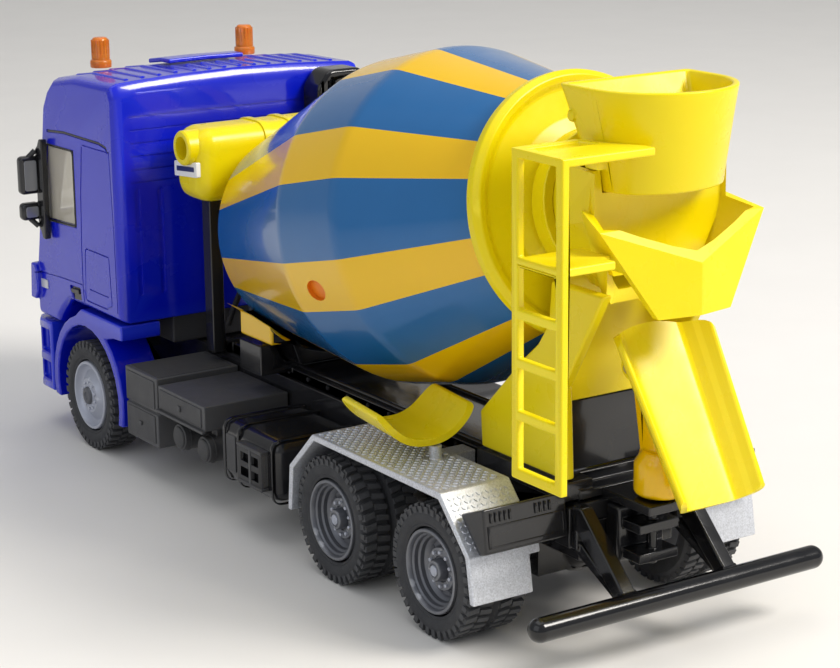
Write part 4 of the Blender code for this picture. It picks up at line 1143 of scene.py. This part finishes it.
def build_light_housings():
    for side, tag in SIDES:
        refined("light_housing_" + tag, BLACK, bevel=0.0)
        bm = bmesh.new()
        for first, count in ((13.4, 4), (20.2, 5)):
            for k in range(count):
                x = first + k * 0.8
                add_lamp_bar(bm, *span(side, x, x + 0.32), 0.03, 0.3, 0.16)
        for x0, x1, t0, t1 in ((11.2, 24.2, 0.38, 0.42), (11.2, 24.2, 0.93, 0.97),
                               (11.2, 11.55, 0.38, 0.97), (23.85, 24.2, 0.38, 0.97)):
            add_lamp_bar(bm, *span(side, x0, x1), t0, t1, 0.12)
        piece("lamp_ribs_" + tag, bm, [BLACK], bevel=0.06, segments=2)


def build_side_boxes():
    """Tool box, battery box and tanks, with doors, straps and a step."""
    refined("tool_box", GREY)
    refined("battery_box", GREY, bevel=0.2, angle=40)
    refined("fuel_tank", BLACK, bevel=0.0)
    refined("right_side_tank", DARK_GREY, bevel=0.0)

    bm = bmesh.new()
    for k in range(22):
        y = -95.3 + k * 0.5
        add_box(bm, (10.0, y, 19.0), (24.4, y + 0.22, 19.25))
    piece("tool_box_tread", bm, [GREY], bevel=0.05, segments=1)

    bm = bmesh.new()
    for low, high, face_x in (((-95.2, 13.5), (-84.9, 18.5), 25.18),
                              ((-95.2, 7.3), (-84.9, 12.3), 25.18),
                              ((-83.0, 14.4), (-68.0, 17.7), 25.2)):
        add_prism(bm, rounded(rectangle(low, high), 0.3), "X", CAB_SIDE_X, face_x)
    for low, high in (((25.1, -90.6, 9.6), (25.45, -89.7, 10.3)),
                      ((CAB_SIDE_X, -83.7, 13.6), (25.6, -66.9, 14.1)),
                      ((25.1, -76.0, 15.5), (25.45, -75.1, 16.5))):
        add_box(bm, low, high)
    for y in (-77.0, -68.3):
        add_turned(bm, [(24.4, 0), (24.4, 1.9), (24.75, 1.9), (24.9, 1.7), (24.9, 0)], "X", 40,
                   centre=(0, y, 10.5))
        add_turned(bm, [(23.2, 2.28), (23.2, 2.42), (23.6, 2.42), (23.6, 2.28)], "X", 40,
                   centre=(0, y, 10.5), closed=True)
    piece("side_box_doors", bm, [GREY], bevel=0.1, segments=2)

    bm = bmesh.new()
    for y in (-61.2, -56.6, -45.9):
        outer = rounded(rectangle((9.2, 6.95), (24.85, 17.85)), [0.5, 2.2, 2.2, 0.5], 8)
        inner = rounded(rectangle((9.4, 7.15), (24.65, 17.65)), [0.5, 2.1, 2.1, 0.5], 8)
        add_band(bm, inner, outer, "Y", y, y + 0.8)
    piece("fuel_tank_straps", bm, [BLACK], bevel=0.1, segments=2)

    bm = bmesh.new()
    for low, high, corner, face_x in (((-60.2, 9.4), (-57.2, 15.6), 0.4, 24.78),
                                      ((-54.7, 15.2), (-46.8, 15.75), 0.15, 25.95),
                                      ((-54.7, 9.1), (-46.8, 9.65), 0.15, 25.95)):
        add_prism(bm, rounded(rectangle(low, high), corner), "X", 24.4, face_x)
    add_prism(bm, rectangle((-51.0, 9.5), (-50.3, 15.4)), "X", 25.1, 25.9)
    piece("fuel_tank_step", bm, [GREY], bevel=0.1, segments=2)


BAR_HALF_LENGTH = 26.2
BAR_RADIUS = 1.73
BAR_ARM_X = (7.9, 10.2)


def build_chassis():
    refined("chassis_frame", BLACK, bevel=0.25, angle=40)
    refined("tow_coupling", BLACK, bevel=0.2, angle=40)
    build_guard_bar()
    build_frame_details()


def build_guard_bar():
    """The under-run bar with its two arms."""
    bm = bmesh.new()
    cap = [(-BAR_HALF_LENGTH, 0.0)]
    for step in range(1, 13):
        angle = math.radians(7.5 * step)
        cap.append((-BAR_HALF_LENGTH + BAR_RADIUS * (1 - math.cos(angle)),
                    BAR_RADIUS * math.sin(angle)))
    cap += [(-x, r) for x, r in reversed(cap)]
    add_turned(bm, cap, "X", 48, centre=(0, 25.5, 9.4))
    item = new_object("rear_guard_bar", bm, [BLACK])
    arm = [(13.5, 20.8), (15.6, 20.8), (25.6, 10.9), (23.9, 9.3), (13.5, 18.2)]
    strut = [(13.5, 16.4), (23.9, 10.1), (23.9, 8.8), (13.5, 14.6)]
    tools = []
    for side, _ in SIDES:
        low, high = span(side, *BAR_ARM_X)
        tools.append(bm_prism(arm, "X", low, high))
        tools.append(bm_prism(strut, "X", *span(side, 8.3, 9.8)))
        tools.append(bm_box((low, 13.5, 14.4), (high, 14.9, 20.2)))
    cut(item, tools, "UNION")
    bevelled(item, 0.3, 3, 40, 35)
    settle(item, "truck", ("underrun_bar",))


def build_frame_details():
    """Bolts and pipes along the rails, and the hoses behind the cab."""
    bm = bmesh.new()
    for side, _ in SIDES:
        bolt = [(side * x, r) for x, r in ((7.9, 0), (7.9, 0.42), (8.35, 0.42), (8.35, 0))]
        for k in range(15):
            add_turned(bm, bolt, "X", 6, centre=(0, -80.0 + 6.2 * k, 21.6))
        add_tube(bm, [(side * 6.5, -78.0, 22.6), (side * 6.8, -60.0, 22.6), (side * 6.8, -30.0, 22.6),
                      (side * 6.8, -10.0, 22.6)], 0.4, 8)
    piece("frame_bolts_and_pipes", bm, [BLACK], smooth=45)

    bm = bmesh.new()
    steps = [k / 24 for k in range(25)]
    left_hose = [(5.5 - 1.6 * math.sin(3.1 * t), -93.5 + 8.5 * t,
                  24.0 + 9.0 * math.sin(2.9 * t) * (1 - 0.3 * t)) for t in steps]
    right_hose = [(-5.0 + 1.4 * math.sin(3.0 * t), -93.5 + 9.0 * t,
                   24.5 + 7.5 * math.sin(2.9 * t)) for t in steps]
    add_tube(bm, left_hose, 0.55, 10)
    add_tube(bm, right_hose, 0.45, 10)
    piece("cab_hoses", bm, [DARK_GREY], "truck", smooth=60)


build_cab()
build_beacons()
build_mirrors()
build_drum()
build_tank()
build_mixer_parts()
build_hopper()
build_chutes()
build_wheels()
build_mudguards()
build_light_housings()
build_side_boxes()
build_chassis()


# ---------------------------------------------------------------- floor, light and camera


FLOOR_FRONT = -3.0
FLOOR_END = 0.9
SWEEP_RADIUS = 0.35
BACKDROP_TOP = 2.4
CAMERA_PLACE = (0.195224, 0.305989, 0.125264)
CAMERA_ANGLES = (146.49, 14.66, -0.586)
SENSOR_WIDTH = 36.0
FOCAL_LENGTH = 97.886


def build_stage():
    """A pale floor that sweeps up into a backdrop."""
    floor_mat = material("floor", (0.78, 0.76, 0.73), 0.7, mottle=0.03, mottle_scale=30, grain=0.08,
                         grain_scale=900)
    bm = bmesh.new()
    rows = [(FLOOR_FRONT, 0.0)]
    for k in range(10):
        angle = math.radians(10 * k)
        rows.append((FLOOR_END + SWEEP_RADIUS * math.sin(angle),
                     SWEEP_RADIUS - SWEEP_RADIUS * math.cos(angle)))
    rows.append((FLOOR_END + SWEEP_RADIUS, BACKDROP_TOP))
    line = [[bm.verts.new((x, -y, z)) for y, z in rows] for x in (-4.0, 4.0)]
    for i in range(len(rows) - 1):
        bm.faces.new((line[0][i], line[1][i], line[1][i + 1], line[0][i + 1]))
    floor = new_object("floor", bm, [floor_mat], Matrix.Rotation(math.radians(-33.5), 4, "Z"))
    floor.data.shade_smooth()


def area_light(name, place, target, size, power, colour=(1, 1, 1)):
    data = bpy.data.lights.new(name, "AREA")
    data.shape = "RECTANGLE"
    data.size, data.size_y = size
    data.energy = power
    data.color = colour
    item = bpy.data.objects.new(name, data)
    SCENE.collection.objects.link(item)
    item.location = place
    item.rotation_mode = "QUATERNION"
    item.rotation_quaternion = (Vector(target) - Vector(place)).to_track_quat("-Z", "Y")


def build_lights():
    world = bpy.data.worlds.new("studio")
    world.use_nodes = True
    back = world.node_tree.nodes["Background"]
    back.inputs["Color"].default_value = (0.9, 0.94, 1.0, 1.0)
    back.inputs["Strength"].default_value = 0.46
    SCENE.world = world
    area_light("key", (-0.35, 0.55, 0.6), (0, 0.02, 0.03), (0.3, 0.3), 7.6, (1.0, 0.96, 0.9))
    area_light("fill", (0.7, 0.2, 0.45), (0, 0, 0.03), (0.7, 0.6), 1.1, (0.93, 0.96, 1.0))
    area_light("top", (0.0, -0.05, 0.8), (0, 0, 0), (0.7, 0.7), 1.8)


def build_camera():
    """The camera at the photograph's viewing angle."""
    data = bpy.data.cameras.new("camera")
    data.sensor_width = SENSOR_WIDTH
    data.lens = FOCAL_LENGTH
    data.clip_start = 0.01
    data.clip_end = 50.0
    item = bpy.data.objects.new("camera", data)
    SCENE.collection.objects.link(item)
    azimuth, elevation, roll = (math.radians(v) for v in CAMERA_ANGLES)
    back = Vector((math.sin(azimuth) * math.cos(elevation),
                   -math.cos(azimuth) * math.cos(elevation), math.sin(elevation)))
    right = Vector((math.cos(azimuth), math.sin(azimuth), 0.0))
    up = back.cross(right)
    rolled_right = right * math.cos(roll) + up * math.sin(roll)
    rolled_up = up * math.cos(roll) - right * math.sin(roll)
    turn = Matrix((rolled_right, rolled_up, back)).transposed()
    item.matrix_world = Matrix.Translation(CAMERA_PLACE) @ turn.to_4x4()
    SCENE.camera = item


build_stage()
build_lights()
build_camera()
